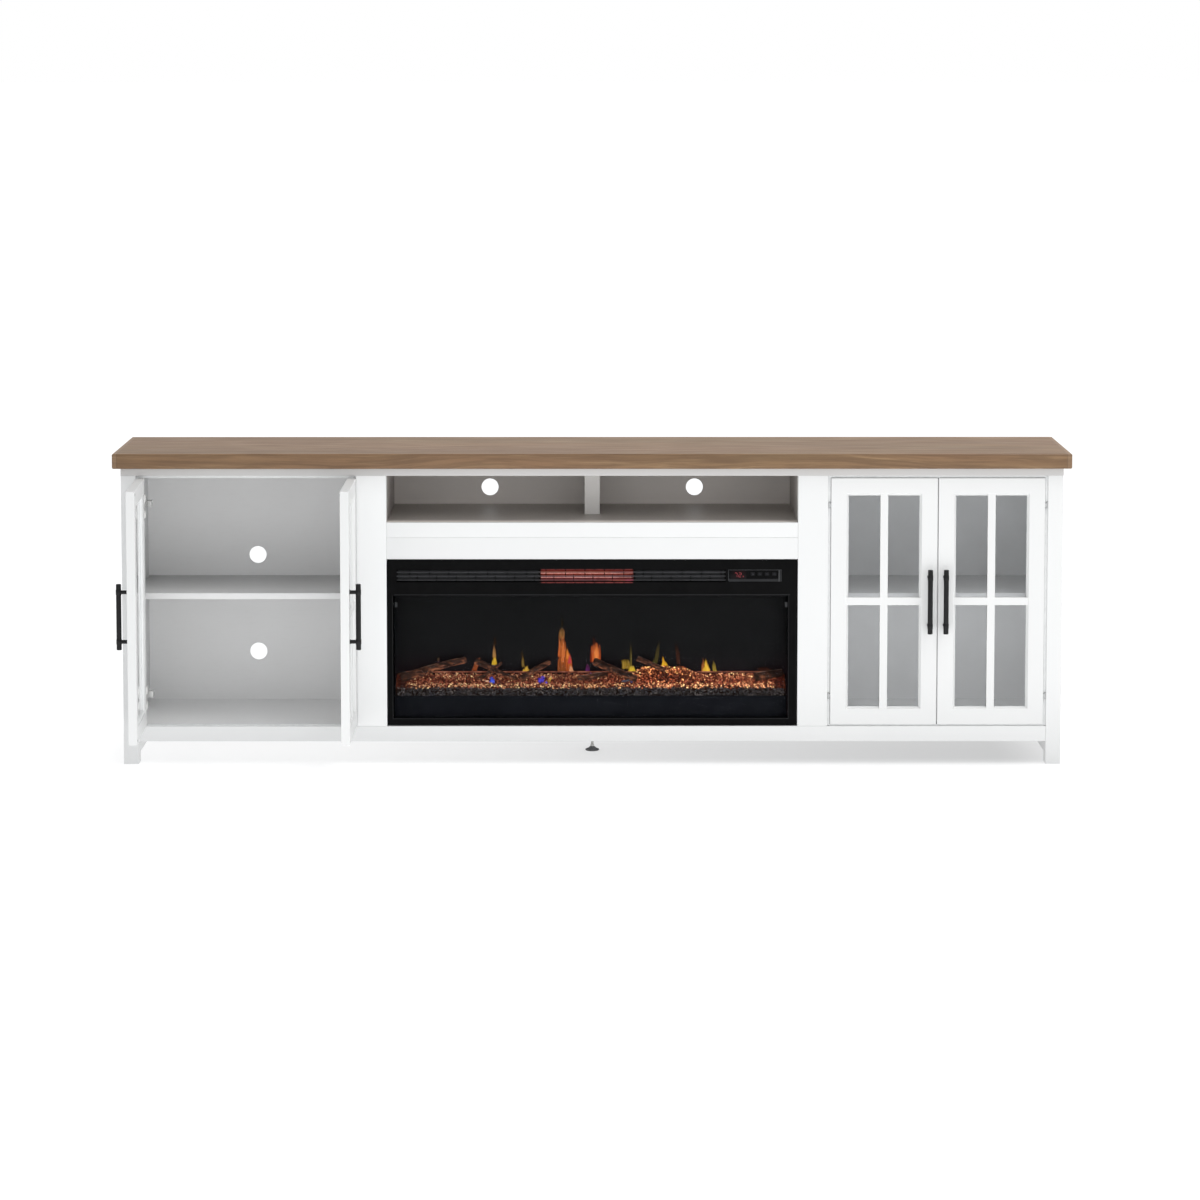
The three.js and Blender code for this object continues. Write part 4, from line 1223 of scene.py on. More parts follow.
def warm_lip():
    """The edge of the steel below and above the louvres, red where the heater shines on it."""
    m = Tree("heater_lit_lip")
    streak = m.noise(m.scaled(1, 1, 3), 90.0, 3.0, 0.6)
    strength, x = heat_fade(m, m.band(streak, 0.2, 0.8, 0.30, 0.60), 6.0)
    ticks = m.band(m.math("SINE", m.math("MULTIPLY", x, 2 * math.pi / 0.0253)), 0.75, 0.95, 1.0, 0.35)
    p = m.principled(
        Base_Color=m.mix(streak, (0.010, 0.005, 0.005), (0.018, 0.008, 0.007)),
        Roughness=m.band(streak, 0.3, 0.7, 0.4, 0.6),
        Emission_Color=m.mix(m.band(streak, 0.3, 0.7), (0.33, 0.045, 0.045), (0.46, 0.085, 0.080)),
        Emission_Strength=m.math("MULTIPLY", strength, ticks),
    )
    p.inputs["Specular IOR Level"].default_value = 0.1
    m.material.cycles.emission_sampling = "NONE"
    return m.material


LIP = warm_lip()
lip = Mesh()
box(lip, -134.0, 107.0, at(3.6), at(4.3), 474.6, 477.4, 0.3, 2)
box(lip, -134.0, 107.0, at(3.6), at(4.3), 509.7, 511.2, 0.3, 2)
place("heater_lip", lip, "cabinet", LIP, "insert_steel", smooth=30)

TUBE, COIL, REFLECTOR = glow_tube(), glow_coil(), reflector()
tubes, coils, holders, trough = Mesh(), Mesh(), Mesh(), Mesh()
TUBE_Z = (476.5, 487.25, 498.0)
TUBE_T = 30.0
for z in TUBE_Z:
    turned(
        tubes,
        [(0, 0), (3.9, 0), (4.3, 0.5), (4.3, 243.5), (3.9, 244.0), (0, 244.0)],
        (-135.5, at(TUBE_T), z),
        (1, 0, 0),
        28,
    )
    coil = [
        (x, at(TUBE_T - 4.6) + 0.35 * math.cos(x * 2.1), z - 0.6 + 0.75 * math.sin(x * 2.1))
        for x in np.linspace(-133.0, 106.0, 900)
    ]
    swept(coils, coil, 0.62, 5)
for x0, x1 in ((-143.0, -134.8), (107.8, 116.0)):
    box(holders, x0, x1, at(23.0), at(37.0), 469.5, 505.5, 1.0, 3)
    for z in TUBE_Z:
        turned(holders, [(0, 0), (5.2, 0), (5.4, 0.5), (5.4, 3.0), (4.8, 3.6), (0, 3.6)],
               (x0 if x0 < 0 else x1, at(TUBE_T), z), (-1 if x0 < 0 else 1, 0, 0), 24)
section = [(23.0, 467.0), (38.0, 468.5), (43.0, 476.5), (44.0, 487.25), (43.0, 498.0), (38.0, 506.0), (20.0, 510.5)]
section += [(t + (0.8 if i in (0, 6) else 0.9), z) for i, (t, z) in reversed(list(enumerate(section)))]
n = len(section)
verts = [(x, at(t), z) for x in (-134.6, 107.6) for t, z in section]
faces = [(i, (i + 1) % n, n + (i + 1) % n, n + i) for i in range(n)]
faces += [tuple(range(n))[::-1], tuple(range(n, 2 * n))]
trough.add(verts, faces)
place("heater_tubes", tubes, "cabinet", TUBE, "quartz_heater", ("heater_element",), smooth=35)
place("heater_coils", coils, "cabinet", COIL, "quartz_heater", smooth=50)
place("heater_holders", holders, "cabinet", HOLDER, "quartz_heater", smooth=35)
place("heater_reflector", trough, "cabinet", REFLECTOR, "alloy", smooth=50)


def lens():
    """Black acrylic over the display, with a faint painted glow of the figures' red light inside it."""
    m = Tree("display_acrylic")
    grain = m.noise(m.xyz, 60.0, 3.0, 0.6)
    x = m.node("ShaderNodeSeparateXYZ", {0: m.xyz}).outputs[0]
    near = m.band(m.math("ABSOLUTE", m.math("SUBTRACT", x, 0.381)), 0.004, 0.026, 1.0, 0.0)
    p = m.principled(
        Base_Color=m.mix(grain, (0.0022, 0.0022, 0.0026), (0.0034, 0.0034, 0.0040)),
        Roughness=m.band(grain, 0.3, 0.7, 0.10, 0.18),
        Normal=m.bump(m.noise(m.xyz, 900.0, 1.0), 0.02, 0.0001),
        Emission_Color=m.mix(grain, (0.95, 0.16, 0.19), (1.0, 0.20, 0.24)),
        Emission_Strength=m.math("MULTIPLY", near, 0.009),
    )
    p.inputs["Specular IOR Level"].default_value = 0.06
    return m.material


def lamp(name, dark, bright, low, high, scale=400.0):
    m = Tree(name)
    g = m.noise(m.xyz, scale, 2.0, 0.6)
    p = m.principled(
        Base_Color=m.mix(g, [c * 0.3 for c in dark], [c * 0.3 for c in bright]),
        Roughness=m.band(g, 0.3, 0.7, 0.3, 0.5),
        Emission_Color=m.mix(m.band(g, 0.3, 0.7), dark, bright),
        Emission_Strength=m.band(g, 0.2, 0.8, low, high),
    )
    p.inputs["Specular IOR Level"].default_value = 0.2
    return m.material


LENS = lens()
DIGITS = lamp("display_digits", (0.24, 0.026, 0.036), (0.34, 0.052, 0.062), 0.85, 1.05)
ICONS = lamp("key_symbols", (0.013, 0.014, 0.018), (0.021, 0.022, 0.028), 0.9, 1.1)

rim, rim_bright, rim_dark = Mesh(), Mesh(), Mesh()
X0, X1, Z0, Z1 = 352.6, 491.4, 478.2, 509.4
box(rim, X0, X1, at(4.3), at(6.0), Z1 - 1.3, Z1, 0.3)
box(rim, X0, X0 + 1.3, at(4.3), at(6.0), Z0 + 1.8, Z1 - 1.3, 0.3)
box(rim_dark, X0 + 1.3, X1 - 7.0, at(4.6), at(6.0), Z0, Z0 + 7.3, 0.6, 3)
box(rim_dark, X1 - 6.0, X1, at(4.4), at(6.0), Z0, Z1 - 1.3, 0.5, 3)
box(rim_bright, X1 - 8.4, X1 - 6.2, at(4.2), at(6.0), Z0, Z1 - 1.3, 0.5, 3)
place("control_band", rim_dark, "cabinet", EDGE_LINE, "insert_steel", smooth=30)
place("control_rim", rim, "cabinet", TRIM, "insert_steel", smooth=30)
place("control_edge", rim_bright, "cabinet", BAR_GREY, "insert_steel", smooth=30)

# a fine bead along the top of the window and thin lines round its other edges, lighter than the bezel: painted
# highlight for the light the window's lip catches
bead, frame_line = Mesh(), Mesh()
box(bead, -514.0, 513.0, at(3.3), at(4.4), 443.2, 444.9, 0.35, 3)
box(frame_line, -518.0, 510.0, at(3.7), at(4.4), 118.3, 119.4, 0.25, 2)
for x in (-517.6, 509.4):
    box(frame_line, x - 0.5, x + 0.5, at(3.7), at(4.4), 119.0, 442.5, 0.25, 2)
place("window_edge_highlight", frame_line, "cabinet", EDGE_LINE, "insert_steel", smooth=30)
place("window_highlight_bead", bead, "cabinet", EDGE_LINE, "insert_steel", smooth=30)

SEGMENTS = {"7": "abc", "2": "abged"}


def digit(m, which, x, z, w, h, y0, y1):
    """Seven slanted bars, of which a figure lights its own."""
    s, g = 1.05, 0.2
    lean = 0.03

    def bar(points):
        n = len(points)
        front = [(px + (pz - z) * lean, y0, pz) for px, pz in points]
        rear = [(px + (pz - z) * lean, y1, pz) for px, pz in points]
        faces = [tuple(range(n)), tuple(range(2 * n - 1, n - 1, -1))]
        faces += [(i, n + i, n + (i + 1) % n, (i + 1) % n) for i in range(n)]
        m.add(front + rear, faces)

    def across(cx0, cx1, cz):
        e = s / 2
        bar([(cx0 + g, cz), (cx0 + g + e, cz - e), (cx1 - g - e, cz - e), (cx1 - g, cz), (cx1 - g - e, cz + e), (cx0 + g + e, cz + e)])

    def upright(cx, cz0, cz1):
        e = s / 2
        bar([(cx, cz0 + g), (cx + e, cz0 + g + e), (cx + e, cz1 - g - e), (cx, cz1 - g), (cx - e, cz1 - g - e), (cx - e, cz0 + g + e)])

    for k in SEGMENTS[which]:
        if k == "a":
            across(x, x + w, z + h)
        elif k == "g":
            across(x, x + w, z + h / 2)
        elif k == "d":
            across(x, x + w, z)
        elif k == "b":
            upright(x + w, z + h / 2, z + h)
        elif k == "c":
            upright(x + w, z, z + h / 2)
        elif k == "f":
            upright(x, z + h / 2, z + h)
        elif k == "e":
            upright(x, z, z + h / 2)


lens_mesh = Mesh()
box(lens_mesh, 355.6, 400.0, at(5.1), at(6.0), 486.0, 507.6, 0.3)
place("display_lens", lens_mesh, "cabinet", LENS, "insert_glass", smooth=30)
figures = Mesh()
digit(figures, "7", 369.2, 490.4, 6.0, 10.6, at(4.85), at(5.15))
digit(figures, "2", 379.6, 490.4, 6.4, 10.6, at(4.85), at(5.15))
turned(figures, [(0.9, 0), (1.5, 0), (1.5, 0.3), (0.9, 0.3)], (391.4, at(5.15), 491.6), (0, -1, 0), 20, closed=True)
place("display_figures", figures, "cabinet", DIGITS, None, smooth=20)


def ring_part(m, cx, cz, r0, r1, y0, y1, a0=0.0, a1=360.0, sides=32):
    """A flat ring or an arc of one, facing the front."""
    whole = abs(a1 - a0) >= 359.9
    n = sides if whole else sides + 1
    verts, faces = [], []
    for k in range(n):
        w = math.radians(a0 + (a1 - a0) * k / sides)
        c, s = math.cos(w), math.sin(w)
        verts += [(cx + r0 * c, y0, cz + r0 * s), (cx + r1 * c, y0, cz + r1 * s), (cx + r1 * c, y1, cz + r1 * s), (cx + r0 * c, y1, cz + r0 * s)]
    last = n if whole else n - 1
    for k in range(last):
        j = (k + 1) % n
        for i in range(4):
            i2 = (i + 1) % 4
            faces.append((4 * k + i, 4 * k + i2, 4 * j + i2, 4 * j + i))
    if not whole:
        faces += [(0, 3, 2, 1), (4 * (n - 1), 4 * (n - 1) + 1, 4 * (n - 1) + 2, 4 * (n - 1) + 3)]
    m.add(verts, faces)


KEY_X, KEY_Z = (416.0, 434.5, 453.0, 472.0), 498.0
for i, x in enumerate(KEY_X):
    m = Mesh()
    y0, y1 = at(4.86), at(5.06)
    if i == 0:  # a drop-shaped flame
        pts = [(x + 2.5 * math.sin(w) * (0.55 + 0.45 * math.cos(w / 2)), KEY_Z - 1.0 - 2.4 * math.cos(w) + (1.3 if abs(w - math.pi) < 0.3 else 0)) for w in np.linspace(0, 2 * math.pi, 29)[:-1]]
        n = len(pts)
        front = [(a, y0, b) for a, b in pts]
        rear = [(a, y1, b) for a, b in pts]
        m.add(front + rear, [tuple(range(n)), tuple(range(2 * n - 1, n - 1, -1))] + [(k, n + k, n + (k + 1) % n, (k + 1) % n) for k in range(n)])
    elif i == 1:  # three rising waves of heat
        for k in (-1, 0, 1):
            path = [(x + k * 2.1 + 0.45 * math.sin((z - KEY_Z) * 1.5), (y0 + y1) / 2, z) for z in np.linspace(KEY_Z - 2.8, KEY_Z + 2.8, 24)]
            swept(m, path, 0.34, 6)
    elif i == 2:  # a clock face
        ring_part(m, x, KEY_Z, 2.3, 2.9, y0, y1)
        box(m, x - 0.25, x + 0.25, y0, y1, KEY_Z, KEY_Z + 1.9, 0.05, 1)
        box(m, x, x + 1.5, y0, y1, KEY_Z - 0.25, KEY_Z + 0.25, 0.05, 1)
    else:  # a broken ring with a bar for on and off
        ring_part(m, x, KEY_Z - 0.2, 2.2, 2.8, y0, y1, 118.0, 422.0)
        box(m, x - 0.3, x + 0.3, y0, y1, KEY_Z + 0.4, KEY_Z + 3.2, 0.05, 1)
    place(f"key_symbol_{i + 1}", m, f"control_key_{i + 1}", ICONS, None, smooth=30)

# glass clips at the upper corners of the window, each under a screw
clips, clip_screws = Mesh(), Mesh()
for x in (-508.5, 503.2):
    box(clips, x - 3.2, x + 3.2, at(7.6), at(9.0), 411.0, 424.0, 0.5)
    box(clips, x - 2.6, x + 2.6, at(8.8), at(10.2), 421.5, 424.0, 0.3)
    screw(clip_screws, (x, at(7.6), 416.5), (0, -1, 0), 2.3, 0.9, 0.5)
place("glass_clips", clips, "cabinet", TRIM, "insert_steel", smooth=30)
place("glass_clip_screws", clip_screws, "cabinet", TRIM, "insert_steel", smooth=35)

# vents and screws on the back of the case, seen through the service opening
vents = Mesh()
for col, x in enumerate((-235.0, -110.0)):
    for k in range(9):
        z = 262.0 + k * 14.0
        hood = [(190.0, z - 3.6), (190.9, z - 3.2), (193.3, z + 0.4), (193.7, z + 2.2), (193.1, z + 2.4), (190.0, z + 2.6)]
        n = len(hood)
        v = [(xx, at(t), zz) for xx in (x, x + 92.0) for t, zz in hood]
        f = [(i, (i + 1) % n, n + (i + 1) % n, n + i) for i in range(n)]
        f += [tuple(range(n))[::-1], tuple(range(n, 2 * n))]
        vents.add(v, [tuple(reversed(q)) for q in f])
place("case_vents", vents, "cabinet", INNER_STEEL, "insert_steel", smooth=25)
case_screws = Mesh()
for x in (-505.0, -330.0, -165.0, 0.0, 165.0, 330.0, 505.0):
    for z in (112.0, 439.0, 522.0):
        screw(case_screws, (x, at(190.0), z), (0, 1, 0), 3.2, 1.2, rng.uniform(0, 3))
place("case_screws", case_screws, "cabinet", SCREW, "insert_steel", smooth=35)

# ------------------------------------------------------------------ ember bed
LOGS = [
    ((-500, 62, 216), (-330, 84, 262), 12, 8),
    ((-306, 88, 256), (-196, 66, 210), 8, 5),
    ((-300, 60, 211), (-236, 88, 250), 6, 4),
    ((-190, 62, 213), (-110, 86, 256), 9, 6),
    ((4, 86, 257), (116, 58, 212), 10, 9),
    ((118, 78, 264), (192, 74, 234), 7, 6),
    ((424, 62, 217), (498, 84, 226), 12, 10),
    ((-40, 66, 213), (40, 84, 220), 8, 7),
]
SLOPE_T = (21.0, 38.0, 62.0, 102.0)
SLOPE_Z = (173.0, 193.0, 209.0, 221.0)


def ease(v, a, b):
    q = min(1.0, max(0.0, (v - a) / (b - a)))
    return q * q * (3 - 2 * q)


def bed_height(x, t):
    """The sloping bed, banked up at the back right of its middle."""
    z = float(np.interp(t, SLOPE_T, SLOPE_Z))
    bank = ease(x, 92.0, 150.0) * (1 - ease(x, 228.0, 282.0)) * ease(t, 50.0, 88.0)
    return z + 19.0 * bank * (1 + 0.10 * math.sin(x * 0.11))


def ember_ground():
    m = Tree("ember_ground")
    rough = m.noise(m.xyz, 90.0, 4.0, 0.65)
    glow = m.band(m.noise(m.xyz, 260.0, 3.0, 0.6), 0.50, 0.66)
    y = m.node("ShaderNodeSeparateXYZ", {0: m.xyz}).outputs[1]
    inner = m.band(y, at(36.0) * MM, at(44.0) * MM)
    p = m.principled(
        Base_Color=m.mix(rough, (0.008, 0.005, 0.004), (0.026, 0.012, 0.008)),
        Roughness=m.band(rough, 0.3, 0.7, 0.7, 0.9),
        Normal=m.bump(rough, 0.6, 0.002),
        Emission_Color=m.mix(glow, (0.050, 0.011, 0.006), (0.24, 0.055, 0.026)),
        Emission_Strength=m.math("MULTIPLY", inner, m.band(glow, 0.0, 1.0, 0.5, 1.0)),
    )
    p.inputs["Specular IOR Level"].default_value = 0.1
    m.material.cycles.emission_sampling = "NONE"
    return m.material


def chip_material(name, base, gloss):
    """Broken chips: each carries a base tone and a glow of its own; the glow is stronger on the facets that face up and
    forward, as painted light.
    """
    m = Tree(name)
    tone = m.attribute("tone").outputs["Color"]
    glow = m.attribute("glow").outputs["Color"]
    grain = m.noise(m.xyz, 700.0, 3.0, 0.65)
    normal = m.node("ShaderNodeTexCoord").outputs["Normal"]
    facing = m.node("ShaderNodeVectorMath", {0: normal, 1: (0.28, -0.62, 0.73)}, operation="DOT_PRODUCT").outputs["Value"]
    lit = m.band(facing, -0.1, 0.9, 0.18, 1.30)
    colour = m.mix(m.band(grain, 0.3, 0.7, 0.0, 0.5), tone, base)
    p = m.principled(
        Base_Color=colour,
        Roughness=m.band(grain, 0.3, 0.7, *gloss),
        Normal=m.bump(grain, 0.35, 0.0004),
        Emission_Color=glow,
        Emission_Strength=m.math("MULTIPLY", lit, m.band(grain, 0.2, 0.8, 0.7, 1.3)),
    )
    p.inputs["Specular IOR Level"].default_value = 0.12
    m.material.cycles.emission_sampling = "NONE"
    return m.material


def rail_glow():
    """The rear rim of the tray, lit red from the lamps behind it."""
    m = Tree("glowing_rim")
    g = m.noise(m.scaled(1, 0.2, 0.2), 60.0, 4.0, 0.7)
    p = m.principled(
        Base_Color=m.mix(g, (0.02, 0.010, 0.007), (0.05, 0.022, 0.014)),
        Roughness=m.band(g, 0.3, 0.7, 0.5, 0.7),
        Emission_Color=m.mix(m.band(g, 0.35, 0.65), (0.20, 0.050, 0.028), (0.42, 0.145, 0.085)),
        Emission_Strength=m.band(g, 0.3, 0.7, 0.55, 1.05),
    )
    p.inputs["Specular IOR Level"].default_value = 0.1
    m.material.cycles.emission_sampling = "NONE"
    return m.material


GROUND = ember_ground()
EMBER_CHIPS = chip_material("glowing_chips", (0.012, 0.007, 0.005), (0.5, 0.7))
GRAVEL_CHIPS = chip_material("grey_gravel_painted_glow", (0.022, 0.022, 0.023), (0.35, 0.55))

BED_X = (-514.0, 506.0)
tray = Mesh()
box(tray, *BED_X, at(19.6), at(21.0), 112.0, 175.0, 0.3)
box(tray, *BED_X, at(19.2), at(22.4), 173.6, 176.4, 1.2, 3)
box(tray, *BED_X, at(20.8), at(102.0), 111.4, 112.6, 0.3)
for x in (BED_X[0], BED_X[1] - 1.2):
    v = [(x, at(t), z) for t, z in ((21, 112), (21, 174), (38, 195), (62, 211), (102, 223), (102, 112))]
    v += [(x + 1.2, y, z) for _, y, z in v]
    tray.add(v, [tuple(range(6)), tuple(range(11, 5, -1))] + [(i, 6 + i, 6 + (i + 1) % 6, (i + 1) % 6) for i in range(6)])
box(tray, *BED_X, at(101.0), at(102.2), 112.0, 223.0, 0.3)
place("ember_tray", tray, "cabinet", TRAY_STEEL, "insert_steel", ("ember_bed",), smooth=30)

rail = Mesh()
box(rail, BED_X[0] + 26.0, BED_X[1] - 10.0, at(100.2), at(102.4), 223.2, 226.4, 0.8, 3)
place("ember_tray_rim", rail, "cabinet", rail_glow(), "ember", smooth=30)

ground = Mesh()
xs = np.linspace(BED_X[0] + 2.0, BED_X[1] - 2.0, 254)
ts = np.linspace(21.5, 101.0, 24)
gv, gf = [], []
for i, x in enumerate(xs):
    for j, t in enumerate(ts):
        lump = 2.6 * (noise.noise(Vector((x * 0.06, t * 0.06, 3.0))) + 0.6 * noise.noise(Vector((x * 0.17, t * 0.17, 9.0))))
        gv.append((x, at(t), bed_height(x, t) - 3.2 + lump))
for i in range(len(xs) - 1):
    for j in range(len(ts) - 1):
        a = i * len(ts) + j
        gf.append((a, a + len(ts), a + len(ts) + 1, a + 1))
skirt = len(gv)
border = [i * len(ts) for i in range(len(xs))] + [(len(xs) - 1) * len(ts) + j for j in range(1, len(ts))]
border += [i * len(ts) + len(ts) - 1 for i in range(len(xs) - 2, -1, -1)] + [j for j in range(len(ts) - 2, 0, -1)]
for k in border:
    x, y, z = gv[k]
    gv.append((x, y, 113.0))
nb = len(border)
for k in range(nb):
    j = (k + 1) % nb
    gf.append((border[k], skirt + k, skirt + j, border[j]))
gf.append(tuple(skirt + k for k in range(nb)))
ground.add(gv, gf)
place("ember_ground", ground, "cabinet", GROUND, "ember", smooth=60)

# a dozen broken shapes, each a small closed hull, used over and over at random turns
rng_np = np.random.default_rng(20)


def chip_shape(seed):
    r = np.random.default_rng(seed)
    pts = r.normal(size=(11, 3))
    pts /= np.linalg.norm(pts, axis=1)[:, None]
    pts *= r.uniform(0.72, 1.05, (11, 1)) * np.array([1.0, r.uniform(0.6, 0.95), r.uniform(0.5, 0.85)])
    bm = bmesh.new()
    for p in pts:
        bm.verts.new(p)
    hull = bmesh.ops.convex_hull(bm, input=bm.verts[:])
    loose = [e for e in hull["geom_interior"] + hull["geom_unused"] if isinstance(e, bmesh.types.BMVert)]
    bmesh.ops.delete(bm, geom=list(set(loose)), context="VERTS")
    bmesh.ops.recalc_face_normals(bm, faces=bm.faces[:])
    bm.verts.index_update()
    verts = np.array([v.co for v in bm.verts], float)
    faces = [tuple(v.index for v in f.verts) for f in bm.faces]
    bm.free()
    return verts, faces


CHIPS = [chip_shape(s) for s in range(100, 112)]


def spin(r):
    q = r.normal(size=4)
    q /= np.linalg.norm(q)
    w, x, y, z = q
    return np.array(
        [
            [1 - 2 * (y * y + z * z), 2 * (x * y - z * w), 2 * (x * z + y * w)],
            [2 * (x * y + z * w), 1 - 2 * (x * x + z * z), 2 * (y * z - x * w)],
            [2 * (x * z - y * w), 2 * (y * z + x * w), 1 - 2 * (x * x + y * y)],
        ]
    )


def pick(r, *choices):
    """One of several (share, colour, spread) by chance."""
    q = r.uniform()
    for share, colour, spread in choices:
        if q < share:
            return np.array(colour) * r.uniform(1 - spread, 1 + spread)
        q -= share
    return np.array(choices[-1][1])


def ember_glow(x, t, r):
    """How brightly a chip glows: bright specks along the front, a deep red belt behind them, then dull rose."""
    front, belt = 1 - ease(t, 46.0, 56.0), ease(t, 50.0, 58.0) * (1 - ease(t, 66.0, 74.0))
    patch = noise.noise(Vector((x * 0.018, t * 0.05, 1.0))) + 0.8 * noise.noise(Vector((x * 0.07, t * 0.09, 5.0)))
    bright = 0.15 + 0.13 * front - 0.09 * belt + 0.10 * patch
    dark = 0.42 + 0.06 * belt - 0.06 * front - 0.25 * patch
    speck = 0.035 + 0.085 * front - 0.02 * belt
    glow = pick(
        r,
        (max(0.05, dark), (0.050, 0.0115, 0.0065), 0.7),
        (max(0.02, bright), (0.66, 0.265, 0.120), 0.30),
        (speck, (1.10, 0.66, 0.28), 0.22),
        (1.0, (0.285, 0.073, 0.036), 0.40),
    )
    glow = glow * (1 - 0.30 * belt * np.array((0.4, 1.0, 1.0)))
    # the right half burns brighter, most of all on the bank
    bank = ease(x, 92.0, 150.0) * (1 - ease(x, 228.0, 282.0)) * ease(t, 48.0, 70.0)
    glow = glow * (1 + 0.62 * ease(x, 40.0, 150.0)) * (1 + 0.85 * bank * np.array((1.0, 1.1, 0.5)))
    glow = glow * (1 + 0.25 * (1 - ease(x, -160.0, 40.0)) * np.array((0.0, 0.7, 1.2)))
    # both ends lie in a dark red shade
    side = min(x - BED_X[0], BED_X[1] - x)
    shade_off = 1 - ease(side, 22.0, 44.0)
    if side < 6.0 or (t > 92.0 and r.uniform() < 0.7):
        shade_off *= 0.35
    return glow * (1 - shade_off * np.array((0.90, 0.95, 0.93)))


def scatter(count, t_range, size_range, kind, r):
    mesh, tones, glows = Mesh(), [], []
    for _ in range(count):
        x = r.uniform(BED_X[0] + 7.0, BED_X[1] - 7.0)
        t = r.uniform(*t_range)
        size = r.uniform(*size_range)
        z = bed_height(x, t) - 0.6 + r.uniform(-1.2, 1.6)
        verts, faces = CHIPS[r.integers(len(CHIPS))]
        placed = (verts * size) @ spin(r).T + [x, at(t), z]
        placed[:, 1] = np.maximum(placed[:, 1], at(20.2))
        mesh.add(placed, faces)
        if kind == "ember":
            glow = ember_glow(x, t, r)
            tone = np.array((0.030, 0.015, 0.010)) * r.uniform(0.3, 1.5)
        else:
            tone = np.array(pick(r, (0.30, (0.040, 0.043, 0.050), 0.4), (0.15, (0.095, 0.090, 0.088), 0.3), (1.0, (0.026, 0.024, 0.023), 0.5)))
            # painted light: the grey gravel glows faintly in a warm share of its own tone
            glow = tone * (0.72, 0.60, 0.54)
        tones.append(np.tile((*tone, 1.0), (len(verts), 1)))
        glows.append(np.tile((*glow, 1.0), (len(verts), 1)))
    return mesh, {"tone": ("FLOAT_COLOR", np.concatenate(tones)), "glow": ("FLOAT_COLOR", np.concatenate(glows))}


mesh, extra = scatter(4300, (46.0, 101.0), (2.0, 3.7), "ember", np.random.default_rng(31))
place("ember_chips_rear", mesh, "cabinet", EMBER_CHIPS, "ember", smooth=None, attributes=extra)
mesh, extra = scatter(1900, (38.5, 58.0), (2.6, 4.6), "ember", np.random.default_rng(32))
place("ember_chips_front", mesh, "cabinet", EMBER_CHIPS, "ember", smooth=None, attributes=extra)
mesh, extra = scatter(2500, (22.5, 40.0), (2.0, 4.2), "gravel", np.random.default_rng(33))
place("gravel_chips", mesh, "cabinet", GRAVEL_CHIPS, "ember", smooth=None, attributes=extra)

# clear crystals over the coloured lamps: x, t, size, reach across, stretch, colour
CRYSTALS = [
    (-262.0, 58.0, 8.0, 4.0, 1.0, (0.050, 0.078, 0.58)),
    (-258.0, 54.0, 7.0, 4.0, 1.0, (0.060, 0.095, 0.64)),
    (-262.0, 68.0, 7.0, 5.0, 1.0, (0.050, 0.065, 0.42)),
    (-274.0, 58.0, 5.0, 2.0, 1.5, (0.82, 0.46, 0.28)),
    (-284.0, 60.0, 3.6, 2.0, 1.7, (0.66, 0.33, 0.19)),
    (-134.0, 58.0, 8.4, 5.0, 1.0, (0.066, 0.040, 0.52)),
    (-126.0, 64.0, 8.0, 5.0, 1.0, (0.070, 0.046, 0.58)),
    (-138.0, 66.0, 5.6, 3.0, 1.0, (0.046, 0.020, 0.34)),
    (-122.0, 53.0, 5.4, 3.0, 1.0, (0.085, 0.060, 0.62)),
    (-130.0, 76.0, 7.6, 5.0, 1.0, (0.078, 0.036, 0.36)),
    (-113.0, 58.0, 6.0, 3.0, 1.0, (0.44, 0.225, 0.034)),
    (-110.0, 66.0, 6.2, 3.0, 1.0, (0.60, 0.32, 0.055)),
    (-111.0, 52.0, 4.2, 3.0, 1.0, (0.24, 0.13, 0.045)),
    (84.0, 58.0, 7.4, 4.0, 1.5, (0.058, 0.078, 0.120)),
    (94.0, 60.0, 5.6, 3.0, 1.5, (0.080, 0.100, 0.130)),
    (102.0, 55.0, 4.4, 3.0, 1.4, (0.040, 0.050, 0.130)),
    (-5.0, 92.0, 5.0, 3.0, 1.0, (0.16, 0.040, 0.17)),
    (-12.0, 88.0, 4.0, 3.0, 1.0, (0.10, 0.028, 0.12)),
]
mesh, tones, glows = Mesh(), [], []
r = np.random.default_rng(34)
for x, t, size, reach, stretch, colour in CRYSTALS:
    for k in range(3):
        verts, faces = CHIPS[r.integers(len(CHIPS))]
        q = (verts * size * (1.0, 0.72, 0.62)[k]) @ spin(r).T * [stretch, 1, 1 / math.sqrt(stretch)]
        dx, dt = (0.0, 0.0) if k == 0 else (r.uniform(-reach, reach), r.uniform(-reach, reach))
        mesh.add(q + [x + dx, at(t + dt), bed_height(x, t) + 1.8], faces)
        tones.append(np.tile((0.02, 0.02, 0.02, 1.0), (len(verts), 1)))
        glows.append(np.tile((*(np.array(colour) * r.uniform(0.75, 1.2)), 1.0), (len(verts), 1)))
extra = {"tone": ("FLOAT_COLOR", np.concatenate(tones)), "glow": ("FLOAT_COLOR", np.concatenate(glows))}
place("lamp_crystals", mesh, "cabinet", chip_material("lit_crystals", (0.02, 0.02, 0.02), (0.3, 0.5)), "ember", smooth=None, attributes=extra)


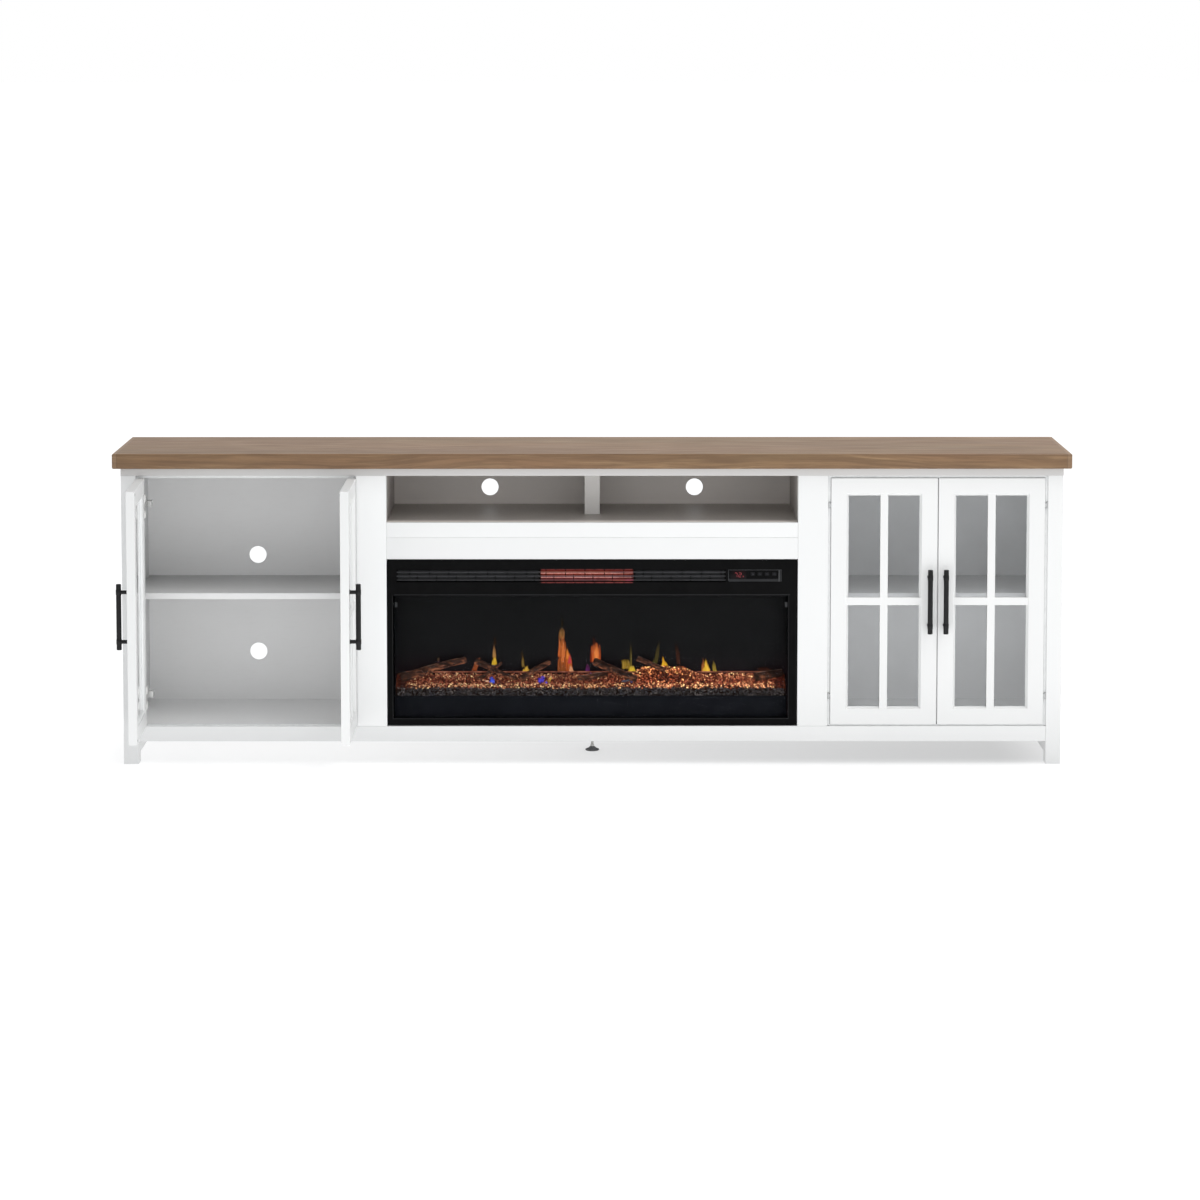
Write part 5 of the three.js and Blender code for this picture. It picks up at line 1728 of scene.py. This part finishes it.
def bark():
    """Charred bark: dull ember light from below and from the front, and a painted highlight on the upper edge, pale
    grey and glowing.
    """
    m = Tree("charred_bark")
    crack = m.noise(m.scaled(0.35, 1, 1), 190.0, 4.0, 0.7)
    lump = m.noise(m.scaled(0.45, 1, 1), 70.0, 3.0, 0.6)
    up = m.node("ShaderNodeSeparateXYZ", {0: m.node("ShaderNodeTexCoord").outputs["Normal"]}).outputs[2]
    colour = m.mix(m.band(lump, 0.3, 0.7), (0.010, 0.007, 0.006), (0.045, 0.024, 0.017))
    colour = m.mix(m.band(crack, 0.55, 0.75, 0.0, 0.6), colour, (0.09, 0.070, 0.058))
    # painted highlight: a pale grey colour and a pale glow on faces that look up
    top_highlight = m.math("MULTIPLY", m.band(up, 0.86, 0.99), m.band(lump, 0.42, 0.62, 0.0, 0.8))
    top_highlight = m.math("MULTIPLY", top_highlight, m.band(crack, 0.3, 0.6, 0.3, 1.0))
    vein = m.band(crack, 0.52, 0.40, 0.0, 1.0)
    fire = m.mix(vein, (0.030, 0.011, 0.008), (0.40, 0.135, 0.060))
    x = m.node("ShaderNodeSeparateXYZ", {0: m.xyz}).outputs[0]
    ends = m.band(m.math("ABSOLUTE", m.math("ADD", x, 0.004)), 0.425, 0.505, 1.0, 0.12)
    patches = m.math("MULTIPLY", m.band(lump, 0.38, 0.62, 0.30, 1.15), ends)
    p = m.principled(
        Base_Color=m.mix(top_highlight, colour, (0.17, 0.14, 0.12)),
        Roughness=m.band(crack, 0.3, 0.7, 0.7, 0.95),
        Normal=m.bump(m.math("ADD", crack, m.math("MULTIPLY", lump, 0.7)), 0.7, 0.0016),
        Emission_Color=m.mix(top_highlight, fire, (0.24, 0.165, 0.110)),
        Emission_Strength=m.math("MULTIPLY", m.math("ADD", m.band(up, 0.5, -0.5, 0.30, 0.85), m.math("MULTIPLY", top_highlight, 0.45)), patches),
    )
    p.inputs["Specular IOR Level"].default_value = 0.12
    m.material.cycles.emission_sampling = "NONE"
    return m.material


BARK = bark()


def log_mesh(a, b, r0, r1, seed, sides=22, steps=34):
    """A bent charred branch with ragged ends."""
    a, b = np.array((a[0], at(a[1]), a[2]), float), np.array((b[0], at(b[1]), b[2]), float)
    side, up, d = axes_for(b - a)
    length = np.linalg.norm(b - a)
    verts, faces = [], []
    for i in range(steps + 1):
        s = i / steps
        centre = a + (b - a) * s
        centre = centre + up * 3.0 * noise.noise(Vector((s * 2.2, seed, 0))) + side * 2.0 * noise.noise(Vector((s * 2.4, seed, 7)))
        r = r0 + (r1 - r0) * s
        if i == 0 or i == steps:
            r *= 0.86
        for k in range(sides):
            w = 2 * math.pi * k / sides
            dirn = side * math.cos(w) + up * math.sin(w)
            ridge = noise.noise(Vector((math.cos(w) * 2.2, math.sin(w) * 2.2, s * length * 0.02 + seed * 3.1)))
            fine = noise.noise(Vector((math.cos(w) * 7.0, math.sin(w) * 7.0, s * length * 0.05 + seed)))
            rr = r * (1 + 0.16 * ridge + 0.10 * fine)
            shift = d * (2.0 * noise.noise(Vector((w * 2.0, seed, 3.0)))) * (i in (0, steps))
            verts.append(centre + dirn * rr + shift)
    for i in range(steps):
        for k in range(sides):
            j = (k + 1) % sides
            faces.append((i * sides + k, i * sides + j, (i + 1) * sides + j, (i + 1) * sides + k))
    verts.append(a + d * 1.5)
    verts.append(b - d * 1.5)
    n = (steps + 1) * sides
    for k in range(sides):
        j = (k + 1) % sides
        faces.append((n, j, k))
        faces.append((n + 1, steps * sides + k, steps * sides + j))
    return verts, faces


logs = Mesh()
for i, (a, b, r0, r1) in enumerate(LOGS):
    v, f = log_mesh(a, b, r0, r1, 1.7 * i + 0.4)
    logs.add(v, f)
place("fire_logs", logs, "cabinet", BARK, "ember", smooth=50)


# ------------------------------------------------------------------ flame screen and flames
def screen():
    m = Tree("flame_screen_film")
    sep = m.node("ShaderNodeSeparateXYZ", {0: m.xyz})
    haze = m.noise(m.scaled(6, 1, 3.2), 1.0, 4.0, 0.6)
    # painted light: the lower part of the screen glows faintly, for the light of the ember bed below it
    low = m.band(sep.outputs[2], 0.212, 0.300, 1.0, 0.0)
    p = m.principled(
        Base_Color=m.mix(haze, (0.0018, 0.0018, 0.0021), (0.0030, 0.0030, 0.0033)),
        Roughness=m.band(haze, 0.3, 0.7, 0.35, 0.5),
        Emission_Color=m.mix(haze, (0.0030, 0.0026, 0.0060), (0.0100, 0.0045, 0.0040)),
        Emission_Strength=m.math("MULTIPLY", low, m.band(haze, 0.3, 0.7, 0.2, 0.8)),
        Normal=m.bump(m.noise(m.xyz, 800.0, 2.0), 0.05, 0.0002),
    )
    p.inputs["Specular IOR Level"].default_value = 0.10
    m.material.cycles.emission_sampling = "NONE"
    return m.material


dress("flame_screen", screen(), 0.3)


def flame_material():
    """Light on a thin veil, broken into rising streaks."""
    m = Tree("flame_light")
    colour = m.attribute("flame_colour").outputs["Color"]
    reach = m.attribute("flame_reach").outputs["Fac"]
    streak = m.noise(m.scaled(420, 60, 60), 1.0, 3.0, 0.6, 0.4)
    cover = m.math("MULTIPLY", reach, m.band(streak, 0.28, 0.62, 0.60, 1.08), clamp=True)
    clear = m.node("ShaderNodeBsdfTransparent", {"Color": (1, 1, 1, 1)})
    light = m.node("ShaderNodeEmission", {"Color": colour, "Strength": 1.0})
    mixed = m.node("ShaderNodeMixShader", {0: cover})
    m.t.links.new(clear.outputs[0], mixed.inputs[1])
    m.t.links.new(light.outputs[0], mixed.inputs[2])
    m.surface(mixed.outputs[0])
    m.material.cycles.emission_sampling = "NONE"
    return m.material


FLAME = flame_material()
# foot x, tip x, foot z, tip z, width, point (0 a block, 1 a spear), strokes, colour at the foot, colour at the tip, cover at the foot and at the tip
FLAMES = [
    (-404.5, -403.0, 238, 268, 8, 0.6, 5, (0.060, 0.022, 0.030), (0.040, 0.020, 0.026), 0.8, 0.5),
    (-404.0, -403.0, 254, 266, 6, 0.4, 3, (0.100, 0.060, 0.030), (0.070, 0.045, 0.024), 0.8, 0.5),
    (-310.0, -298.0, 226, 266, 15, 0.35, 9, (0.33, 0.070, 0.020), (0.19, 0.075, 0.040), 0.9, 0.8),
    (-302.0, -294.0, 240, 264, 8, 0.3, 4, (0.40, 0.120, 0.050), (0.22, 0.090, 0.050), 0.8, 0.8),
    (-258.0, -257.0, 226, 248, 18, 0.3, 8, (0.13, 0.070, 0.18), (0.20, 0.13, 0.10), 0.7, 0.8),
    (-256.0, -256.5, 243, 272, 15, 0.75, 9, (0.84, 0.52, 0.035), (0.78, 0.44, 0.055), 1.0, 0.9),
    (-256.5, -257.5, 262, 302, 10, 0.5, 7, (0.50, 0.25, 0.075), (0.30, 0.145, 0.060), 0.9, 0.6),
    (-256.0, -256.0, 296, 326, 9, 0.6, 4, (0.040, 0.018, 0.008), (0.014, 0.009, 0.006), 0.6, 0.3),
    (-180.0, -183.0, 236, 276, 9, 0.6, 5, (0.24, 0.15, 0.030), (0.14, 0.075, 0.022), 0.85, 0.6),
    (-174.0, -172.0, 224, 243, 20, 0.8, 9, (0.74, 0.41, 0.050), (0.54, 0.34, 0.045), 1.0, 0.8),
    (-183.0, -186.0, 268, 288, 6, 0.6, 3, (0.040, 0.026, 0.012), (0.016, 0.012, 0.008), 0.6, 0.3),
    (-79.5, -79.0, 312, 350, 15, 0.30, 9, (0.36, 0.15, 0.045), (0.13, 0.082, 0.030), 0.95, 0.75),
    (-79.0, -78.5, 344, 380, 11, 0.60, 5, (0.026, 0.020, 0.011), (0.010, 0.008, 0.006), 0.6, 0.20),
    (-80.0, -80.0, 262, 322, 20, 0.12, 14, (0.60, 0.130, 0.032), (0.50, 0.155, 0.045), 1.0, 0.95),
    (-79.0, -80.5, 222, 270, 21, 0.05, 13, (0.26, 0.075, 0.022), (0.50, 0.115, 0.030), 0.9, 1.0),
    (-76.0, -77.0, 248, 306, 8, 0.3, 5, (0.74, 0.185, 0.045), (0.70, 0.20, 0.055), 0.8, 0.7),
    (-60.5, -63.0, 224, 284, 21, 0.42, 14, (0.42, 0.085, 0.024), (0.72, 0.165, 0.030), 0.95, 0.9),
    (-64.0, -66.0, 258, 292, 9, 0.5, 6, (0.86, 0.24, 0.040), (0.66, 0.195, 0.030), 0.9, 0.8),
    (-58.5, -59.5, 246, 270, 9, 0.3, 5, (0.58, 0.050, 0.085), (0.62, 0.070, 0.060), 0.85, 0.8),
    (-54.5, -57.0, 217, 246, 13, 0.85, 7, (0.80, 0.38, 0.19), (0.72, 0.34, 0.17), 1.0, 0.8),
    (-13.0, -11.0, 226, 250, 14, 0.5, 6, (0.13, 0.026, 0.120), (0.055, 0.012, 0.030), 0.8, 0.6),
    (-3.0, -1.0, 250, 310, 5, 0.4, 4, (0.24, 0.030, 0.012), (0.070, 0.014, 0.009), 0.8, 0.4),
    (9.0, 8.5, 250, 303, 25, 0.15, 16, (0.60, 0.100, 0.026), (0.52, 0.120, 0.034), 1.0, 0.9),
    (11.0, 11.0, 252, 298, 13, 0.3, 8, (0.90, 0.27, 0.065), (0.80, 0.24, 0.060), 0.9, 0.7),
    (4.0, 4.0, 296, 322, 8, 0.5, 4, (0.085, 0.020, 0.011), (0.024, 0.010, 0.008), 0.7, 0.3),
    (88.0, 87.0, 232, 258, 24, 0.1, 12, (0.36, 0.215, 0.030), (0.31, 0.190, 0.028), 0.95, 0.9),
    (102.0, 101.0, 238, 312, 5.5, 0.5, 5, (0.20, 0.15, 0.030), (0.060, 0.046, 0.018), 0.85, 0.5),
    (103.5, 104.0, 223, 243, 19, 0.35, 10, (0.86, 0.58, 0.045), (0.72, 0.47, 0.045), 1.0, 0.85),
    (166.0, 176.5, 244, 316, 8, 0.5, 5, (0.085, 0.066, 0.018), (0.060, 0.046, 0.020), 0.8, 0.55),
    (162.0, 163.0, 238, 262, 12, 0.4, 6, (0.085, 0.070, 0.018), (0.070, 0.055, 0.020), 0.8, 0.6),
    (190.0, 184.5, 236, 270, 17, 0.95, 11, (0.92, 0.44, 0.028), (0.84, 0.40, 0.034), 1.0, 0.9),
    (186.5, 186.0, 238, 254, 8, 0.2, 5, (0.98, 0.60, 0.035), (0.92, 0.48, 0.035), 0.95, 0.8),
    (196.0, 192.0, 236, 254, 10, 0.8, 5, (0.85, 0.52, 0.030), (0.80, 0.40, 0.030), 0.95, 0.8),
    (227.0, 219.0, 244, 312, 12, 0.5, 7, (0.062, 0.022, 0.014), (0.034, 0.016, 0.011), 0.8, 0.5),
    (292.0, 290.0, 220, 264, 9, 0.4, 6, (0.52, 0.16, 0.035), (0.30, 0.095, 0.030), 0.85, 0.7),
    (300.5, 298.0, 218, 264, 22, 0.85, 14, (0.92, 0.50, 0.060), (0.86, 0.48, 0.040), 1.0, 0.9),
    (300.0, 299.0, 222, 248, 12, 0.5, 7, (1.0, 0.62, 0.060), (0.95, 0.58, 0.050), 0.95, 0.8),
    (322.0, 318.0, 221, 262, 9, 0.5, 6, (0.44, 0.30, 0.040), (0.15, 0.10, 0.028), 0.85, 0.5),
    (324.0, 324.0, 219, 232, 6, 0.3, 4, (0.78, 0.52, 0.055), (0.52, 0.37, 0.050), 0.95, 0.7),
    (452.0, 446.0, 228, 240, 40, 0.5, 9, (0.060, 0.020, 0.012), (0.028, 0.012, 0.008), 0.7, 0.2),
]


def flames():
    """Every flame is a sheaf of thin upright strokes, each with a height and a tone of its own."""
    mesh, colours, reaches = Mesh(), [], []
    r = np.random.default_rng(57)
    cols, rows = 4, 14
    layer = 0
    for x0, x1, z0, z1, width, point, strokes, foot_c, tip_c, foot_k, tip_k in FLAMES:
        foot_c, tip_c = np.array(foot_c), np.array(tip_c)
        for k in range(strokes):
            layer += 1
            spread = -1 + 2 * (k + 0.5) / strokes
            spread += r.uniform(-0.5, 0.5) / strokes
            across = max(2.0, 2.6 * width / strokes) * r.uniform(0.8, 1.25)
            off = spread * max(0.0, width / 2 - across * 0.35)
            top = z1 - (z1 - z0) * (point * abs(spread) ** 1.2 * 0.8 + (0.16 + 0.26 * max(0.0, 0.5 - point)) * r.uniform() ** 1.3)
            low = z0 - 1.5 + 3.0 * r.uniform()
            tone = 1 + 0.22 * r.uniform(-1, 1)
            sway = 0.5 * across * r.uniform(-1, 1)
            verts, faces = [], []
            for j in range(rows + 1):
                v = j / rows
                z = low + (top - low) * v
                lean = (z - z0) / (z1 - z0)
                mid = x0 + (x1 - x0) * lean + off * (1 - 0.35 * point * lean) + sway * math.sin(v * 2.6 + layer)
                taper = min(1.0, point * 1.5)
                half = across / 2 * (0.9 + 0.1 * math.sin(v * 7.0 + layer)) * (1 - max(0.0, v - 0.62) ** 1.3 * 2.4 * taper)
                half = max(half, 0.3)
                for i in range(cols + 1):
                    u = 2 * i / cols - 1
                    verts.append((mid + u * half, at(106.4 - 0.0105 * layer), z))
                    colours.append([*((foot_c * (1 - lean) + tip_c * lean) * tone), 1.0])
                    edge = (0.0, 0.75, 1.0, 0.75, 0.0)[i]
                    fade = min(1.0, 0.35 + v * 6.0) * (1 - max(0.0, v - 0.70) / 0.30 * (0.45 + 0.40 * taper))
                    reaches.append(max(0.0, min(1.0, (foot_k * (1 - lean) + tip_k * lean) * edge * fade)))
            for j in range(rows):
                for i in range(cols):
                    a = j * (cols + 1) + i
                    faces.append((a, a + 1, a + cols + 2, a + cols + 1))
            mesh.add(verts, faces)
    return mesh, {"flame_colour": ("FLOAT_COLOR", np.array(colours)), "flame_reach": ("FLOAT", np.array(reaches))}


mesh, extra = flames()
place("flames", mesh, "cabinet", FLAME, "flame_screen", smooth=80, attributes=extra)


# ------------------------------------------------------------------ floor
def floor_material():
    """A light table: pale and lit softly from below, more in front of the cabinet; under the cabinet its light is
    turned down, more towards the right, as a painted shadow.
    """
    m = Tree("light_table")
    soft = m.noise(m.xyz, 0.8, 3.0, 0.5)
    fine = m.noise(m.xyz, 60.0, 2.0, 0.5)
    x, y, _ = (m.node("ShaderNodeSeparateXYZ", {0: m.xyz}).outputs[i] for i in range(3))
    near = m.math("MULTIPLY", m.band(m.math("ABSOLUTE", y), 0.10, 0.30, 1.0, 0.0), m.band(m.math("ABSOLUTE", x), 1.05, 1.35, 1.0, 0.0))
    # painted shadow: the light table is dimmed under the cabinet, more towards the right
    under = m.math("MULTIPLY", near, m.band(x, -1.2, 1.2, 0.14, 0.40))
    pool = m.math("MULTIPLY", m.band(y, -0.32, -0.60), m.band(y, -2.70, -3.30, 0.70, 0.0))
    pool = m.math("MULTIPLY", pool, m.band(m.math("ABSOLUTE", x), 1.5, 2.4, 1.0, 0.0))
    pool = m.math("MULTIPLY", pool, m.band(x, -2.0, 0.4, 0.60, 1.15))
    p = m.principled(
        Base_Color=m.mix(soft, (0.415, 0.417, 0.420), (0.430, 0.431, 0.433)),
        Roughness=m.band(fine, 0.3, 0.7, 0.72, 0.82),
        Normal=m.bump(fine, 0.02, 0.0002),
        Emission_Color=m.mix(soft, (0.985, 0.988, 0.99), (1.0, 1.0, 1.0)),
        Emission_Strength=m.math("ADD", m.math("SUBTRACT", 0.74, under), pool),
    )
    p.inputs["Specular IOR Level"].default_value = 0.2
    return m.material


floor_mesh = bpy.data.meshes.new("studio_floor")
R = 180.0
ring = [(R * math.cos(2 * math.pi * k / 96), R * math.sin(2 * math.pi * k / 96), 0.0) for k in range(96)]
floor_mesh.from_pydata(ring, [], [tuple(range(96))])
floor_mesh.materials.append(floor_material())
floor = bpy.data.objects.new("studio_floor", floor_mesh)
scene.collection.objects.link(floor)
